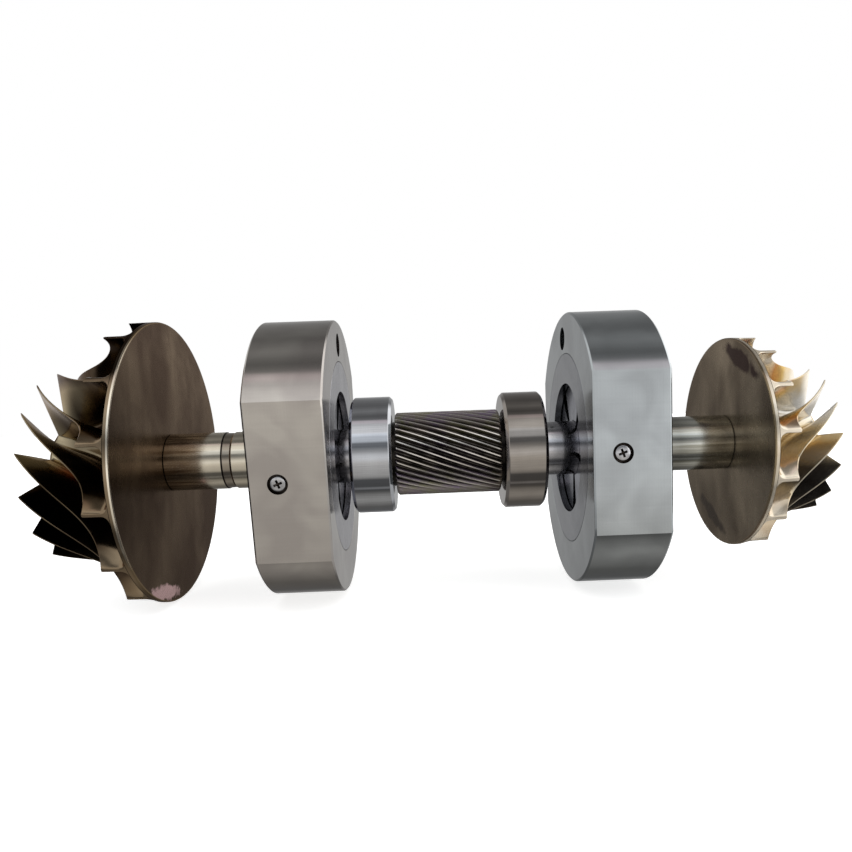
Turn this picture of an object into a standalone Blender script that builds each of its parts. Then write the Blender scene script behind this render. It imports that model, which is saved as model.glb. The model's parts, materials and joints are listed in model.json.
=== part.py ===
"""Air compressor rotor: a pinion shaft with two impellers, two thrust collars and two pad bearings.

The shaft lies along X, with the larger impeller at -X. The origin is the middle of the back flat of
the right bearing housing, where a bracket holds the part. Lengths are in metres.
"""
import math

import bmesh
import bpy
from mathutils import Vector

MM = 0.001
GAP = 0.3 * MM

# Bearing housings: rings with a flat at the front and one at the back
HOUSING_RADIUS = 100.0 * MM
HOUSING_WIDTH = 50.6 * MM
HOUSING_CHAMFER = 1.2 * MM
FLAT_DISTANCE = 85.3 * MM
LEFT_HOUSING_X = -103.4 * MM
RIGHT_HOUSING_X = 115.05 * MM
LEFT_HOUSING_TURN = math.radians(7.9)
ARC_STEPS = 16
FLAT_STEPS = 8

# End plates let into both faces of a housing, and the pads between them
PLATE_RADIUS = 70.3 * MM
PLATE_OPENING = 48.2 * MM
PLATE_THICKNESS = 5.0 * MM
PAD_SEAT_RADIUS = 53.0 * MM
PAD_COUNT = 5
PAD_SPAN = math.radians(58.0)
PAD_STEPS = 6
PAD_BACK_RADIUS = 50.0 * MM
PAD_RIB_SPAN = math.radians(14.0)

# Pin hole in the housing and the screw in its front flat
PIN_HOLE_RADIUS = 8.5 * MM
PIN_HOLE_CIRCLE = 82.3 * MM
PIN_HOLE_ANGLE = math.radians(94.0)
SCREW_OFFSET = -6.4 * MM
RECESS_RADIUS = 6.5 * MM
RECESS_DEPTH = 4.2 * MM
SCREW_HEAD_RADIUS = 4.85 * MM
SCREW_HEAD_HEIGHT = 3.4 * MM
SCREW_SHANK_RADIUS = 2.5 * MM
SCREW_SHANK_LENGTH = 12.0 * MM

# Pinion shaft
SHAFT_STEPS = 41
TEETH = 41
TEETH_HALF_LENGTH = 37.0 * MM
TIP_RADIUS = 30.9 * MM
ROOT_RADIUS = 28.3 * MM
HELIX_ANGLE = math.radians(16.5)
HELIX_SLICES = 6
JOURNAL_RADIUS = 20.1 * MM
LEFT_SHAFT_RADIUS = 21.3 * MM
RIGHT_SHAFT_RADIUS = 20.4 * MM
COLLAR_SEAT_RADIUS = 24.0 * MM
GROOVE_START = -164.3 * MM
GROOVE_END = -157.1 * MM
GROOVE_DEPTH = 0.7 * MM
STUB_RADIUS = 12.0 * MM
STUB_BORE_RADIUS = 5.3 * MM
STUB_BORE_DEPTH = 26.0 * MM

# Thrust collars
COLLAR_RADIUS = 43.2 * MM
COLLAR_NEAR = 39.9 * MM
COLLAR_FAR = 69.6 * MM
COLLAR_CHAMFER = 2.2 * MM
RING_STEPS = 40

# Impellers, measured from the disc's back face towards the eye
IMPELLERS = {
    "left": {
        "side": -1, "back": 205.7 * MM, "disc_radius": 103.0 * MM, "eye_radius": 68.6 * MM,
        "hub_radius": 27.0 * MM, "lead": 76.8 * MM, "out": 19.8 * MM, "nose": 77.6 * MM,
        "lead_angle": math.radians(11.0), "wrap": math.radians(49.0), "shaft_radius": LEFT_SHAFT_RADIUS,
    },
    "right": {
        "side": 1, "back": 209.3 * MM, "disc_radius": 77.5 * MM, "eye_radius": 53.0 * MM,
        "hub_radius": 22.0 * MM, "lead": 59.7 * MM, "out": 17.8 * MM, "nose": 60.5 * MM,
        "lead_angle": math.radians(6.2), "wrap": math.radians(47.0), "shaft_radius": RIGHT_SHAFT_RADIUS,
    },
}
RIM_THICKNESS = 3.5 * MM
BLADE_COUNT = 15
BLADE_EYE_SHARE = 0.55
BLADE_EYE_POWER = 4.0
BLADE_OUTLET_POWER = 1.5
BLADE_STATIONS = 8
BLADE_TIP_THICKNESS = 1.6 * MM
BLADE_ROOT_THICKNESS = 4.0 * MM
BLADE_ROOT_SINK = 2.0 * MM
HUB_STEPS = 8
NOSE_POCKET_RADIUS = 16.5 * MM
NOSE_POCKET_DEPTH = 14.0 * MM
WASHER_RADIUS = 15.5 * MM
WASHER_THICKNESS = 4.0 * MM
BOLT_HEAD_RADIUS = 11.0 * MM
BOLT_HEAD_HEIGHT = 8.0 * MM
BOLT_SHANK_RADIUS = 5.0 * MM

# The shaft's axis, seen from the origin on the right housing's back flat
AXIS_PLACE = Vector((-RIGHT_HOUSING_X, -FLAT_DISTANCE, 0.0))


def make_material(name, color, metallic, roughness):
    """Return a Principled material of one colour."""
    material = bpy.data.materials.new(name)
    material.use_nodes = True
    shader = material.node_tree.nodes["Principled BSDF"]
    shader.inputs["Base Color"].default_value = (*color, 1.0)
    shader.inputs["Metallic"].default_value = metallic
    shader.inputs["Roughness"].default_value = roughness
    return material


def around(x, radius, angle):
    """Return the point at this radius and angle, counted from the front (-Y) upwards."""
    return Vector((x, -radius * math.cos(angle), radius * math.sin(angle)))


def even_angles(count, start=0.0):
    """Return count angles evenly spread over a full turn."""
    return [start + math.tau * index / count for index in range(count)]


def finish_object(name, shape, parent, material):
    """Turn a bmesh into a smooth-shaded object under its axis, with its faces pointing out."""
    bmesh.ops.recalc_face_normals(shape, faces=shape.faces)
    mesh = bpy.data.meshes.new(name)
    shape.to_mesh(mesh)
    shape.free()
    mesh.materials.append(material)
    mesh.shade_smooth()
    mesh.set_sharp_from_angle(angle=math.radians(30.0))
    thing = bpy.data.objects.new(name, mesh)
    bpy.context.scene.collection.objects.link(thing)
    thing.parent = parent
    return thing


def join_rings(shape, first, second):
    """Bridge two rings of vertices of the same length with quads."""
    count = len(first)
    for index in range(count):
        after = (index + 1) % count
        shape.faces.new((first[index], first[after], second[after], second[index]))


def turned(profile, angles, radius_at=None):
    """Return a bmesh turned about X from (x, radius) points.

    A profile that starts and ends on the axis is closed by two end points, and any other profile is
    closed on itself as a ring. radius_at(radius, angle) bends the outline where it has flats.
    """
    shape = bmesh.new()
    solid = profile[0][1] == 0.0
    inner = profile[1:-1] if solid else profile
    rings = []
    for x, radius in inner:
        ring = []
        for angle in angles:
            reach = radius_at(radius, angle) if radius_at else radius
            ring.append(shape.verts.new(around(x, reach, angle)))
        rings.append(ring)
    for first, second in zip(rings, rings[1:]):
        join_rings(shape, first, second)
    if not solid:
        join_rings(shape, rings[-1], rings[0])
        return shape
    for (x, _), ring in ((profile[0], rings[0]), (profile[-1], rings[-1])):
        middle = shape.verts.new((x, 0.0, 0.0))
        for index, vert in enumerate(ring):
            shape.faces.new((vert, ring[(index + 1) % len(ring)], middle))
    return shape


def add_boolean(thing, cutter, operation):
    """Cut or join a thing with another mesh by an exact Boolean."""
    cutter.hide_render = True
    cutter.display_type = "WIRE"
    step = thing.modifiers.new(operation.lower() + "_" + cutter.name, "BOOLEAN")
    step.operation = operation
    step.solver = "EXACT"
    step.object = cutter


def flat_outline(radius, angle):
    """Return the radius at this angle of a circle that both flats cut."""
    inset = HOUSING_RADIUS - radius
    reach = abs(math.cos(angle))
    limit = FLAT_DISTANCE - inset
    if radius < FLAT_DISTANCE or reach * radius <= limit:
        return radius
    return limit / reach


def housing_angles():
    """Return the angles of a housing's outline, with a vertex on each corner of its flats."""
    corner = math.acos(FLAT_DISTANCE / HOUSING_RADIUS)
    angles = []
    for half in (0.0, math.pi):
        angles += [half - corner + 2.0 * corner * step / FLAT_STEPS for step in range(FLAT_STEPS)]
        arc = math.pi - 2.0 * corner
        angles += [half + corner + arc * step / ARC_STEPS for step in range(ARC_STEPS)]
    return angles


def make_housing(side, middle, parent, material):
    """Make a bearing housing with its pad seat, end plate seats, pin hole and screw recess."""
    half = HOUSING_WIDTH / 2.0
    low, high = middle - half, middle + half
    seat = PLATE_THICKNESS + GAP
    plate_seat = PLATE_RADIUS + GAP
    profile = [
        (low, HOUSING_RADIUS - HOUSING_CHAMFER), (low + HOUSING_CHAMFER, HOUSING_RADIUS),
        (high - HOUSING_CHAMFER, HOUSING_RADIUS), (high, HOUSING_RADIUS - HOUSING_CHAMFER),
        (high, plate_seat), (high - seat, plate_seat), (high - seat, PAD_SEAT_RADIUS),
        (low + seat, PAD_SEAT_RADIUS), (low + seat, plate_seat), (low, plate_seat),
    ]
    shape = turned(profile, housing_angles(), flat_outline)
    housing = finish_object(f"bearing_housing_{side}", shape, parent, material)
    hole = turned([(low - half, 0.0), (low - half, PIN_HOLE_RADIUS), (high + half, PIN_HOLE_RADIUS),
                   (high + half, 0.0)], even_angles(20))
    place = around(0.0, PIN_HOLE_CIRCLE, PIN_HOLE_ANGLE)
    bmesh.ops.translate(hole, verts=hole.verts, vec=place)
    add_boolean(housing, finish_object(f"cut_pin_hole_{side}", hole, parent, material), "DIFFERENCE")
    bottom = FLAT_DISTANCE - RECESS_DEPTH
    end = bottom - SCREW_SHANK_LENGTH - 2.0 * GAP
    recess = turned([(end, 0.0), (end, SCREW_SHANK_RADIUS + GAP), (bottom, SCREW_SHANK_RADIUS + GAP),
                     (bottom, RECESS_RADIUS), (FLAT_DISTANCE + RECESS_DEPTH, RECESS_RADIUS),
                     (FLAT_DISTANCE + RECESS_DEPTH, 0.0)], even_angles(20))
    aim_at_front(recess, middle + SCREW_OFFSET)
    add_boolean(housing, finish_object(f"cut_recess_{side}", recess, parent, material), "DIFFERENCE")
    return housing


def aim_at_front(shape, x):
    """Turn a shape made along +X so that it points out of the front flat (-Y) at this x."""
    for vert in shape.verts:
        along, across, up = vert.co
        vert.co = Vector((x + across, -along, up))


def make_flat_screw(side, middle, parent, material):
    """Make the pan head screw that sits in the recess of the front flat."""
    bottom = FLAT_DISTANCE - RECESS_DEPTH + GAP
    top = bottom + SCREW_HEAD_HEIGHT
    profile = [
        (bottom - SCREW_SHANK_LENGTH, 0.0), (bottom - SCREW_SHANK_LENGTH, SCREW_SHANK_RADIUS),
        (bottom, SCREW_SHANK_RADIUS), (bottom, SCREW_HEAD_RADIUS),
        (top - 1.0 * MM, SCREW_HEAD_RADIUS), (top, SCREW_HEAD_RADIUS - 1.6 * MM), (top, 0.0),
    ]
    shape = turned(profile, even_angles(20))
    aim_at_front(shape, middle + SCREW_OFFSET)
    finish_object(f"flat_screw_{side}", shape, parent, material)


def make_end_plate(name, middle, direction, parent, material):
    """Make one annular end plate, flush with the housing's face on its side."""
    face = middle + direction * HOUSING_WIDTH / 2.0
    back = face - direction * PLATE_THICKNESS
    profile = [(face, PLATE_OPENING), (face, PLATE_RADIUS), (back, PLATE_RADIUS), (back, PLATE_OPENING)]
    finish_object(name, turned(profile, even_angles(RING_STEPS)), parent, material)


def make_pad(name, middle, centre_angle, parent, material):
    """Make one bearing pad: a curved block with a rib on its back that rests on the housing."""
    half = HOUSING_WIDTH / 2.0 - PLATE_THICKNESS - 2.0 * GAP
    sag = 1.0 / math.cos(PAD_SPAN / PAD_STEPS / 2.0)
    bore = (JOURNAL_RADIUS + GAP) * sag
    shape = bmesh.new()
    rows = []
    for step in range(PAD_STEPS + 1):
        angle = centre_angle - PAD_SPAN / 2.0 + PAD_SPAN * step / PAD_STEPS
        near_middle = abs(angle - centre_angle) <= PAD_RIB_SPAN / 2.0
        back = PAD_SEAT_RADIUS - 2.0 * GAP if near_middle else PAD_BACK_RADIUS
        rows.append([shape.verts.new(around(middle + along, radius, angle))
                     for along, radius in ((-half, bore), (half, bore), (half, back), (-half, back))])
    for first, second in zip(rows, rows[1:]):
        join_rings(shape, first, second)
    shape.faces.new(rows[0])
    shape.faces.new(rows[-1])
    finish_object(name, shape, parent, material)


def make_bearing(side, middle, parent, finishes):
    """Make one bearing: housing, two end plates, pads and the screw in its front flat."""
    make_housing(side, middle, parent, finishes["housing"])
    inward = 1 if side == "left" else -1
    make_end_plate(f"end_plate_inner_{side}", middle, inward, parent, finishes["housing"])
    make_end_plate(f"end_plate_outer_{side}", middle, -inward, parent, finishes["housing"])
    for index in range(PAD_COUNT):
        angle = math.radians(90.0) + math.tau * index / PAD_COUNT
        make_pad(f"bearing_pad_{side}_{index + 1}", middle, angle, parent, finishes["pad"])
    make_flat_screw(side, middle, parent, finishes["screw"])


def make_collar(side, direction, parent, material):
    """Make one thrust collar with a chamfer on each edge."""
    near, far = COLLAR_NEAR * direction, COLLAR_FAR * direction
    step = COLLAR_CHAMFER * direction
    bore = COLLAR_SEAT_RADIUS + GAP
    profile = [
        (near, bore), (near, COLLAR_RADIUS - COLLAR_CHAMFER), (near + step, COLLAR_RADIUS),
        (far - step, COLLAR_RADIUS), (far, COLLAR_RADIUS - COLLAR_CHAMFER), (far, bore),
    ]
    finish_object(f"thrust_collar_{side}", turned(profile, even_angles(SHAFT_STEPS)), parent, material)


def shaft_end(side):
    """Return an end's (x, radius) points from the impeller's back face out to the axis."""
    spec = IMPELLERS[side]
    back = spec["back"] - GAP
    tip = spec["back"] + spec["nose"] - NOSE_POCKET_DEPTH - GAP
    floor = tip - STUB_BORE_DEPTH
    points = [
        (back, spec["shaft_radius"]), (back, STUB_RADIUS), (tip, STUB_RADIUS),
        (tip, STUB_BORE_RADIUS), (floor, STUB_BORE_RADIUS), (floor, 0.0),
    ]
    return [(spec["side"] * x, radius) for x, radius in points]


def tooth_ring(shape, x):
    """Add one slice of the pinion: three points a tooth, turned along the helix."""
    lead = -math.tan(HELIX_ANGLE) / TIP_RADIUS * x
    pitch = math.tau / TEETH
    ring = []
    for tooth in range(TEETH):
        start = lead + tooth * pitch
        ring.append(shape.verts.new(around(x, ROOT_RADIUS, start)))
        ring.append(shape.verts.new(around(x, TIP_RADIUS, start + 0.36 * pitch)))
        ring.append(shape.verts.new(around(x, TIP_RADIUS, start + 0.62 * pitch)))
    return ring


def plain_ring(shape, x, radius, turn):
    """Add one plain circle of the shaft."""
    return [shape.verts.new(around(x, radius, turn + angle)) for angle in even_angles(SHAFT_STEPS)]


def close_teeth(shape, circle, teeth):
    """Join a plain circle to a slice of teeth with a fan at each tooth."""
    for index in range(TEETH):
        after = (index + 1) % TEETH
        root, rise, fall = teeth[3 * index:3 * index + 3]
        next_root = teeth[3 * after]
        shape.faces.new((circle[index], root, rise))
        shape.faces.new((circle[index], rise, fall))
        shape.faces.new((circle[index], fall, circle[after]))
        shape.faces.new((circle[after], fall, next_root))


def make_shaft(parent, material):
    """Make the pinion shaft as one piece, from the left impeller's stub to the right one's."""
    shape = bmesh.new()
    seat_end = COLLAR_FAR + 1.0 * MM
    left = list(reversed(shaft_end("left"))) + [
        (GROOVE_START, LEFT_SHAFT_RADIUS), (GROOVE_START + 1.0 * MM, LEFT_SHAFT_RADIUS - GROOVE_DEPTH),
        (GROOVE_END - 1.0 * MM, LEFT_SHAFT_RADIUS - GROOVE_DEPTH), (GROOVE_END, LEFT_SHAFT_RADIUS),
        (LEFT_HOUSING_X - HOUSING_WIDTH / 2.0 - 12.0 * MM, LEFT_SHAFT_RADIUS),
        (LEFT_HOUSING_X - HOUSING_WIDTH / 2.0 - 11.0 * MM, JOURNAL_RADIUS),
        (-seat_end, JOURNAL_RADIUS), (-seat_end, COLLAR_SEAT_RADIUS),
    ]
    right = [
        (seat_end, COLLAR_SEAT_RADIUS), (seat_end, JOURNAL_RADIUS),
        (RIGHT_HOUSING_X + HOUSING_WIDTH / 2.0 + 2.0 * MM, JOURNAL_RADIUS),
        (RIGHT_HOUSING_X + HOUSING_WIDTH / 2.0 + 3.0 * MM, RIGHT_SHAFT_RADIUS),
    ] + shaft_end("right")
    turn = -math.tan(HELIX_ANGLE) / TIP_RADIUS * TEETH_HALF_LENGTH
    rings = [plain_ring(shape, x, radius, -turn) for x, radius in left[1:]]
    rings.append(plain_ring(shape, -TEETH_HALF_LENGTH, COLLAR_SEAT_RADIUS, -turn))
    for first, second in zip(rings, rings[1:]):
        join_rings(shape, first, second)
    close_axis(shape, left[0][0], rings[0])
    slices = [tooth_ring(shape, TEETH_HALF_LENGTH * (2.0 * step / HELIX_SLICES - 1.0))
              for step in range(HELIX_SLICES + 1)]
    close_teeth(shape, rings[-1], slices[0])
    for first, second in zip(slices, slices[1:]):
        join_rings(shape, first, second)
    rings = [plain_ring(shape, TEETH_HALF_LENGTH, COLLAR_SEAT_RADIUS, turn)]
    rings += [plain_ring(shape, x, radius, turn) for x, radius in right[:-1]]
    close_teeth(shape, rings[0], slices[-1])
    for first, second in zip(rings, rings[1:]):
        join_rings(shape, first, second)
    close_axis(shape, right[-1][0], rings[-1])
    finish_object("pinion_shaft", shape, parent, material)


def close_axis(shape, x, ring):
    """Close a ring with a fan to the axis."""
    middle = shape.verts.new((x, 0.0, 0.0))
    for index, vert in enumerate(ring):
        shape.faces.new((vert, ring[(index + 1) % len(ring)], middle))


def hub_point(spec, share):
    """Return (depth, radius) of the hub's curve, from the disc's rim (0) to the nose (1)."""
    angle = share * math.pi / 2.0
    depth = spec["nose"] - (spec["nose"] - RIM_THICKNESS) * math.cos(angle)
    radius = spec["disc_radius"] - (spec["disc_radius"] - spec["hub_radius"]) * math.sin(angle)
    return depth, radius


def shroud_point(spec, share):
    """Return (depth, radius) of the blades' outer edge, from the outlet (0) to the eye (1)."""
    angle = share * math.pi / 2.0
    outlet = spec["disc_radius"] - GAP
    depth = spec["lead"] - (spec["lead"] - spec["out"]) * math.cos(angle)
    radius = outlet - (outlet - spec["eye_radius"]) * math.sin(angle)
    return depth, radius


def blade_angle(spec, share):
    """Return the angle of a blade's middle line, from the outlet (0) to the eye (1)."""
    at_eye = BLADE_EYE_SHARE * (1.0 - share ** BLADE_EYE_POWER)
    at_outlet = (1.0 - BLADE_EYE_SHARE) * (1.0 - share) ** BLADE_OUTLET_POWER
    return spec["lead_angle"] - spec["wrap"] * (at_eye + at_outlet)


def hub_body(spec):
    """Return the disc and hub as one turned bmesh, with the stub's bore and the nose pocket."""
    bore = STUB_RADIUS + GAP
    nose = spec["nose"]
    floor = nose - NOSE_POCKET_DEPTH
    curve = [hub_point(spec, step / HUB_STEPS) for step in range(HUB_STEPS + 1)]
    points = [(0.0, bore), (0.0, spec["disc_radius"])] + curve
    points += [(nose, NOSE_POCKET_RADIUS), (floor, NOSE_POCKET_RADIUS), (floor, bore)]
    profile = [(spec["side"] * (spec["back"] + depth), radius) for depth, radius in points]
    return turned(profile, even_angles(3 * BLADE_COUNT, spec["lead_angle"]))


def blade_spread(spec, curve, share, thickness):
    """Return half of a blade's width around the axis, as an angle, where it crosses this curve."""
    step = 0.02 if share < 0.5 else -0.02
    depth, radius = curve(spec, share)
    next_depth, next_radius = curve(spec, share + step)
    run = math.hypot(next_depth - depth, next_radius - radius)
    slope = radius * (blade_angle(spec, share + step) - blade_angle(spec, share)) / run
    return 0.5 * thickness * math.sqrt(1.0 + slope * slope) / radius


def blade_section(spec, share):
    """Return a blade's four corners at one station: root and tip, on both of its sides."""
    tip_depth, tip_radius = shroud_point(spec, share)
    root_depth, root_radius = hub_point(spec, share * 0.985)
    angle = share * math.pi / 2.0
    root_depth -= BLADE_ROOT_SINK * math.cos(angle)
    root_radius -= BLADE_ROOT_SINK * math.sin(angle) + (1.0 - share) * GAP
    if share == 0.0:
        root_depth = RIM_THICKNESS / 2.0
    middle = blade_angle(spec, share)
    root_spread = blade_spread(spec, hub_point, share, BLADE_ROOT_THICKNESS)
    tip_spread = blade_spread(spec, shroud_point, share, BLADE_TIP_THICKNESS)
    corners = []
    for depth, radius, spread in ((root_depth, root_radius, root_spread),
                                  (tip_depth, tip_radius, tip_spread)):
        x = spec["side"] * (spec["back"] + depth)
        corners.append((around(x, radius, middle - spread), around(x, radius, middle + spread)))
    (root_low, root_high), (tip_low, tip_high) = corners
    return [root_low, root_high, tip_high, tip_low]


def blade_ring(spec):
    """Return all the blades of an impeller as one bmesh of separate closed blades."""
    shape = bmesh.new()
    for index in range(BLADE_COUNT):
        turn = math.tau * index / BLADE_COUNT
        rows = []
        for station in range(BLADE_STATIONS):
            share = station / (BLADE_STATIONS - 1)
            row = []
            for corner in blade_section(spec, share):
                y, z = corner.y, corner.z
                place = (corner.x, y * math.cos(turn) + z * math.sin(turn),
                         z * math.cos(turn) - y * math.sin(turn))
                row.append(shape.verts.new(place))
            rows.append(row)
        for first, second in zip(rows, rows[1:]):
            join_rings(shape, first, second)
        shape.faces.new(rows[0])
        shape.faces.new(rows[-1])
    return shape


def make_impeller(side, parent, material):
    """Make one milled impeller: the turned disc and hub with the blades joined on."""
    spec = IMPELLERS[side]
    impeller = finish_object(f"impeller_{side}", hub_body(spec), parent, material)
    blades = finish_object(f"cut_blades_{side}", blade_ring(spec), parent, material)
    add_boolean(impeller, blades, "UNION")


def make_impeller_fixing(side, parent, finishes):
    """Make the washer and the hexagon head bolt in the impeller's nose pocket."""
    spec = IMPELLERS[side]
    floor = spec["back"] + spec["nose"] - NOSE_POCKET_DEPTH + GAP
    top = floor + WASHER_THICKNESS
    bore = BOLT_SHANK_RADIUS + GAP
    points = [(floor, bore), (floor, WASHER_RADIUS), (top, WASHER_RADIUS), (top, bore)]
    profile = [(spec["side"] * x, radius) for x, radius in points]
    washer = turned(profile, even_angles(24))
    finish_object(f"impeller_washer_{side}", washer, parent, finishes["bolt"])
    seat = top + GAP
    head = seat + BOLT_HEAD_HEIGHT
    end = floor - STUB_BORE_DEPTH + 2.0 * MM
    shape = bmesh.new()
    rings = []
    for x, radius in ((end, BOLT_SHANK_RADIUS), (seat, BOLT_SHANK_RADIUS),
                      (seat, BOLT_HEAD_RADIUS), (head, BOLT_HEAD_RADIUS)):
        ring = []
        for angle in even_angles(24):
            reach = radius
            if radius == BOLT_HEAD_RADIUS:
                within = (angle + math.pi / 6.0) % (math.pi / 3.0) - math.pi / 6.0
                reach = radius * math.cos(math.pi / 6.0) / math.cos(within)
            ring.append(shape.verts.new(around(spec["side"] * x, reach, angle)))
        rings.append(ring)
    for first, second in zip(rings, rings[1:]):
        join_rings(shape, first, second)
    close_axis(shape, spec["side"] * end, rings[0])
    close_axis(shape, spec["side"] * head, rings[-1])
    finish_object(f"impeller_bolt_{side}", shape, parent, finishes["bolt"])


def make_axis(name, turn=0.0):
    """Make an empty on the shaft's axis, which the pieces of one body hang from."""
    axis = bpy.data.objects.new(name, None)
    axis.location = AXIS_PLACE
    axis.rotation_euler = (turn, 0.0, 0.0)
    bpy.context.scene.collection.objects.link(axis)
    return axis


def main():
    """Clear the scene and make every piece."""
    for thing in list(bpy.data.objects):
        bpy.data.objects.remove(thing)
    finishes = {
        "housing": make_material("ground_steel", (0.42, 0.41, 0.39), 1.0, 0.32),
        "pad": make_material("pad_metal", (0.12, 0.12, 0.13), 0.8, 0.45),
        "screw": make_material("bright_screw", (0.62, 0.60, 0.58), 1.0, 0.25),
        "shaft": make_material("polished_steel", (0.45, 0.42, 0.38), 1.0, 0.22),
        "collar": make_material("collar_steel", (0.40, 0.38, 0.35), 1.0, 0.25),
        "impeller": make_material("tinted_steel", (0.28, 0.22, 0.15), 1.0, 0.35),
        "bolt": make_material("dark_bolt", (0.20, 0.19, 0.18), 1.0, 0.40),
    }
    rotor = make_axis("rotor_axis")
    left = make_axis("bearing_left_axis", LEFT_HOUSING_TURN)
    right = make_axis("bearing_right_axis")
    make_shaft(rotor, finishes["shaft"])
    make_collar("left", -1, rotor, finishes["collar"])
    make_collar("right", 1, rotor, finishes["collar"])
    for side in ("left", "right"):
        make_impeller(side, rotor, finishes["impeller"])
        make_impeller_fixing(side, rotor, finishes)
    make_bearing("left", LEFT_HOUSING_X, left, finishes)
    make_bearing("right", RIGHT_HOUSING_X, right, finishes)


main()
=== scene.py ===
"""The looks of the air compressor rotor.

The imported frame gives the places, and this script dresses it: turned housings with ground flats,
polished collars and shaft, a helical pinion, two milled impellers with heat tints, the pads and
screws, and a plain studio with soft panels and the camera. Lengths are in metres.
"""
from __future__ import annotations

import json
import logging
import math
from dataclasses import dataclass, field
from enum import Enum
from typing import Callable, Sequence

import bmesh
import bpy
from bmesh.types import BMesh, BMVert
from bpy.types import Material, Node, NodeSocket, NodeTree, Object
from mathutils import Euler, Matrix, Vector


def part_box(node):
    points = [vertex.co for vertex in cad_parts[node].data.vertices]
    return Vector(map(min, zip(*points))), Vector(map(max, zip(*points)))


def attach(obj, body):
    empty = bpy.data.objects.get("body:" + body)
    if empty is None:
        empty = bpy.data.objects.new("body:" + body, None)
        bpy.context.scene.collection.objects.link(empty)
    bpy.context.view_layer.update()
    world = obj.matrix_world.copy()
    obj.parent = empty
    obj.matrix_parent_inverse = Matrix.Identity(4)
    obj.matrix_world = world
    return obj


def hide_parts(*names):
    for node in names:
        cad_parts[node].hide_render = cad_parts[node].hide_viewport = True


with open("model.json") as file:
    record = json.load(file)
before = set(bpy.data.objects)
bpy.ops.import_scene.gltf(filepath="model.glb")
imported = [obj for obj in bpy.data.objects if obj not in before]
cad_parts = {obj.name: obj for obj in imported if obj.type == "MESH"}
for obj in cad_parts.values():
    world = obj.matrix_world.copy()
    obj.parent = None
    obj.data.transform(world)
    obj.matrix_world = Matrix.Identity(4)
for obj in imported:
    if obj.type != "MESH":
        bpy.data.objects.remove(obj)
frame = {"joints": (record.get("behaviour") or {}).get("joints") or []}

log = logging.getLogger("rotor")

MM = 0.001
# Clear space between pieces that sit together, so that no two faces share a place
GAP = 0.3 * MM
# Edges across a rounded corner, and how much of an edge one corner may use up
ROUND_STEPS = 3
ROUND_LIMIT = 0.45
# Vertices around the large rings, the small ones and the shapes that only cut
LARGE_RING, SMALL_RING, CUTTER_RING = 192, 96, 64
# Stretch that draws a pattern out into streaks along the shaft
DRAWN_OUT = (0.03, 1.0, 1.0)
# A normal that points this far along the shaft belongs to an end face
END_FACE = 0.8
Profile = Sequence[tuple[float, float, float]]
Sockets = dict[str, NodeSocket]


class Side(Enum):
    """The two ends of the rotor, with the direction of each along the shaft."""

    LEFT = -1
    RIGHT = 1

    @property
    def word(self) -> str:
        """Return the side as the frame's node names spell it."""
        return self.name.lower()

    @property
    def body(self) -> str:
        """Return the body that this side's bearing rides on."""
        return f"bearing_{self.word}"


class Slot(Enum):
    """The record's material slots."""

    HOUSING = "ground_steel"
    PAD = "pad_metal"
    SCREW = "bright_screw"
    SHAFT = "polished_steel"
    COLLAR = "collar_steel"
    IMPELLER = "tinted_steel"
    BOLT = "dark_bolt"


@dataclass(frozen=True)
class ShaftAxis:
    """The shaft's axis, which runs along X. Places along it count from the pinion's middle."""

    middle: float
    y: float
    z: float

    @classmethod
    def from_frame(cls) -> ShaftAxis:
        """Take the axis from the frame's first joint and the two thrust collars.

        Returns:
            The axis.
        """
        _, y, z = frame["joints"][0]["pos_m"]
        left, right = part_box("thrust_collar_left"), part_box("thrust_collar_right")
        return cls((left[1].x + right[0].x) / 2.0, y, z)

    def place(self, turn: float = 0.0) -> Matrix:
        """Return the matrix from shaft coordinates to the row frame, turned about the shaft."""
        return Matrix.Translation((self.middle, self.y, self.z)) @ Matrix.Rotation(turn, 4, "X")

    def front(self, x: float, turn: float) -> Matrix:
        """Return the matrix that points a shape made along +X out of a housing's front flat.

        Args:
            x: Place along the shaft.
            turn: How far the housing is turned about the shaft.

        Returns:
            The matrix from the shape's coordinates to the row frame.
        """
        aim = Matrix((
            (0.0, 1.0, 0.0, x), (-1.0, 0.0, 0.0, 0.0), (0.0, 0.0, 1.0, 0.0), (0.0, 0.0, 0.0, 1.0)))
        return self.place(turn) @ aim


def around(x: float, radius: float, angle: float) -> Vector:
    """Return the point at this radius and angle, counted from the front upwards."""
    return Vector((x, -radius * math.cos(angle), radius * math.sin(angle)))


def even_angles(count: int, start: float = 0.0) -> list[float]:
    """Return count angles evenly spread over a full turn."""
    return [start + math.tau * index / count for index in range(count)]


def blend_values(first: float, second: float, share: float) -> float:
    """Return the value that lies this share of the way from the first to the second."""
    return first + (second - first) * share


def metres(lengths_mm: Sequence[float]) -> list[float]:
    """Return lengths given in millimetres in metres."""
    return [length * MM for length in lengths_mm]


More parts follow.
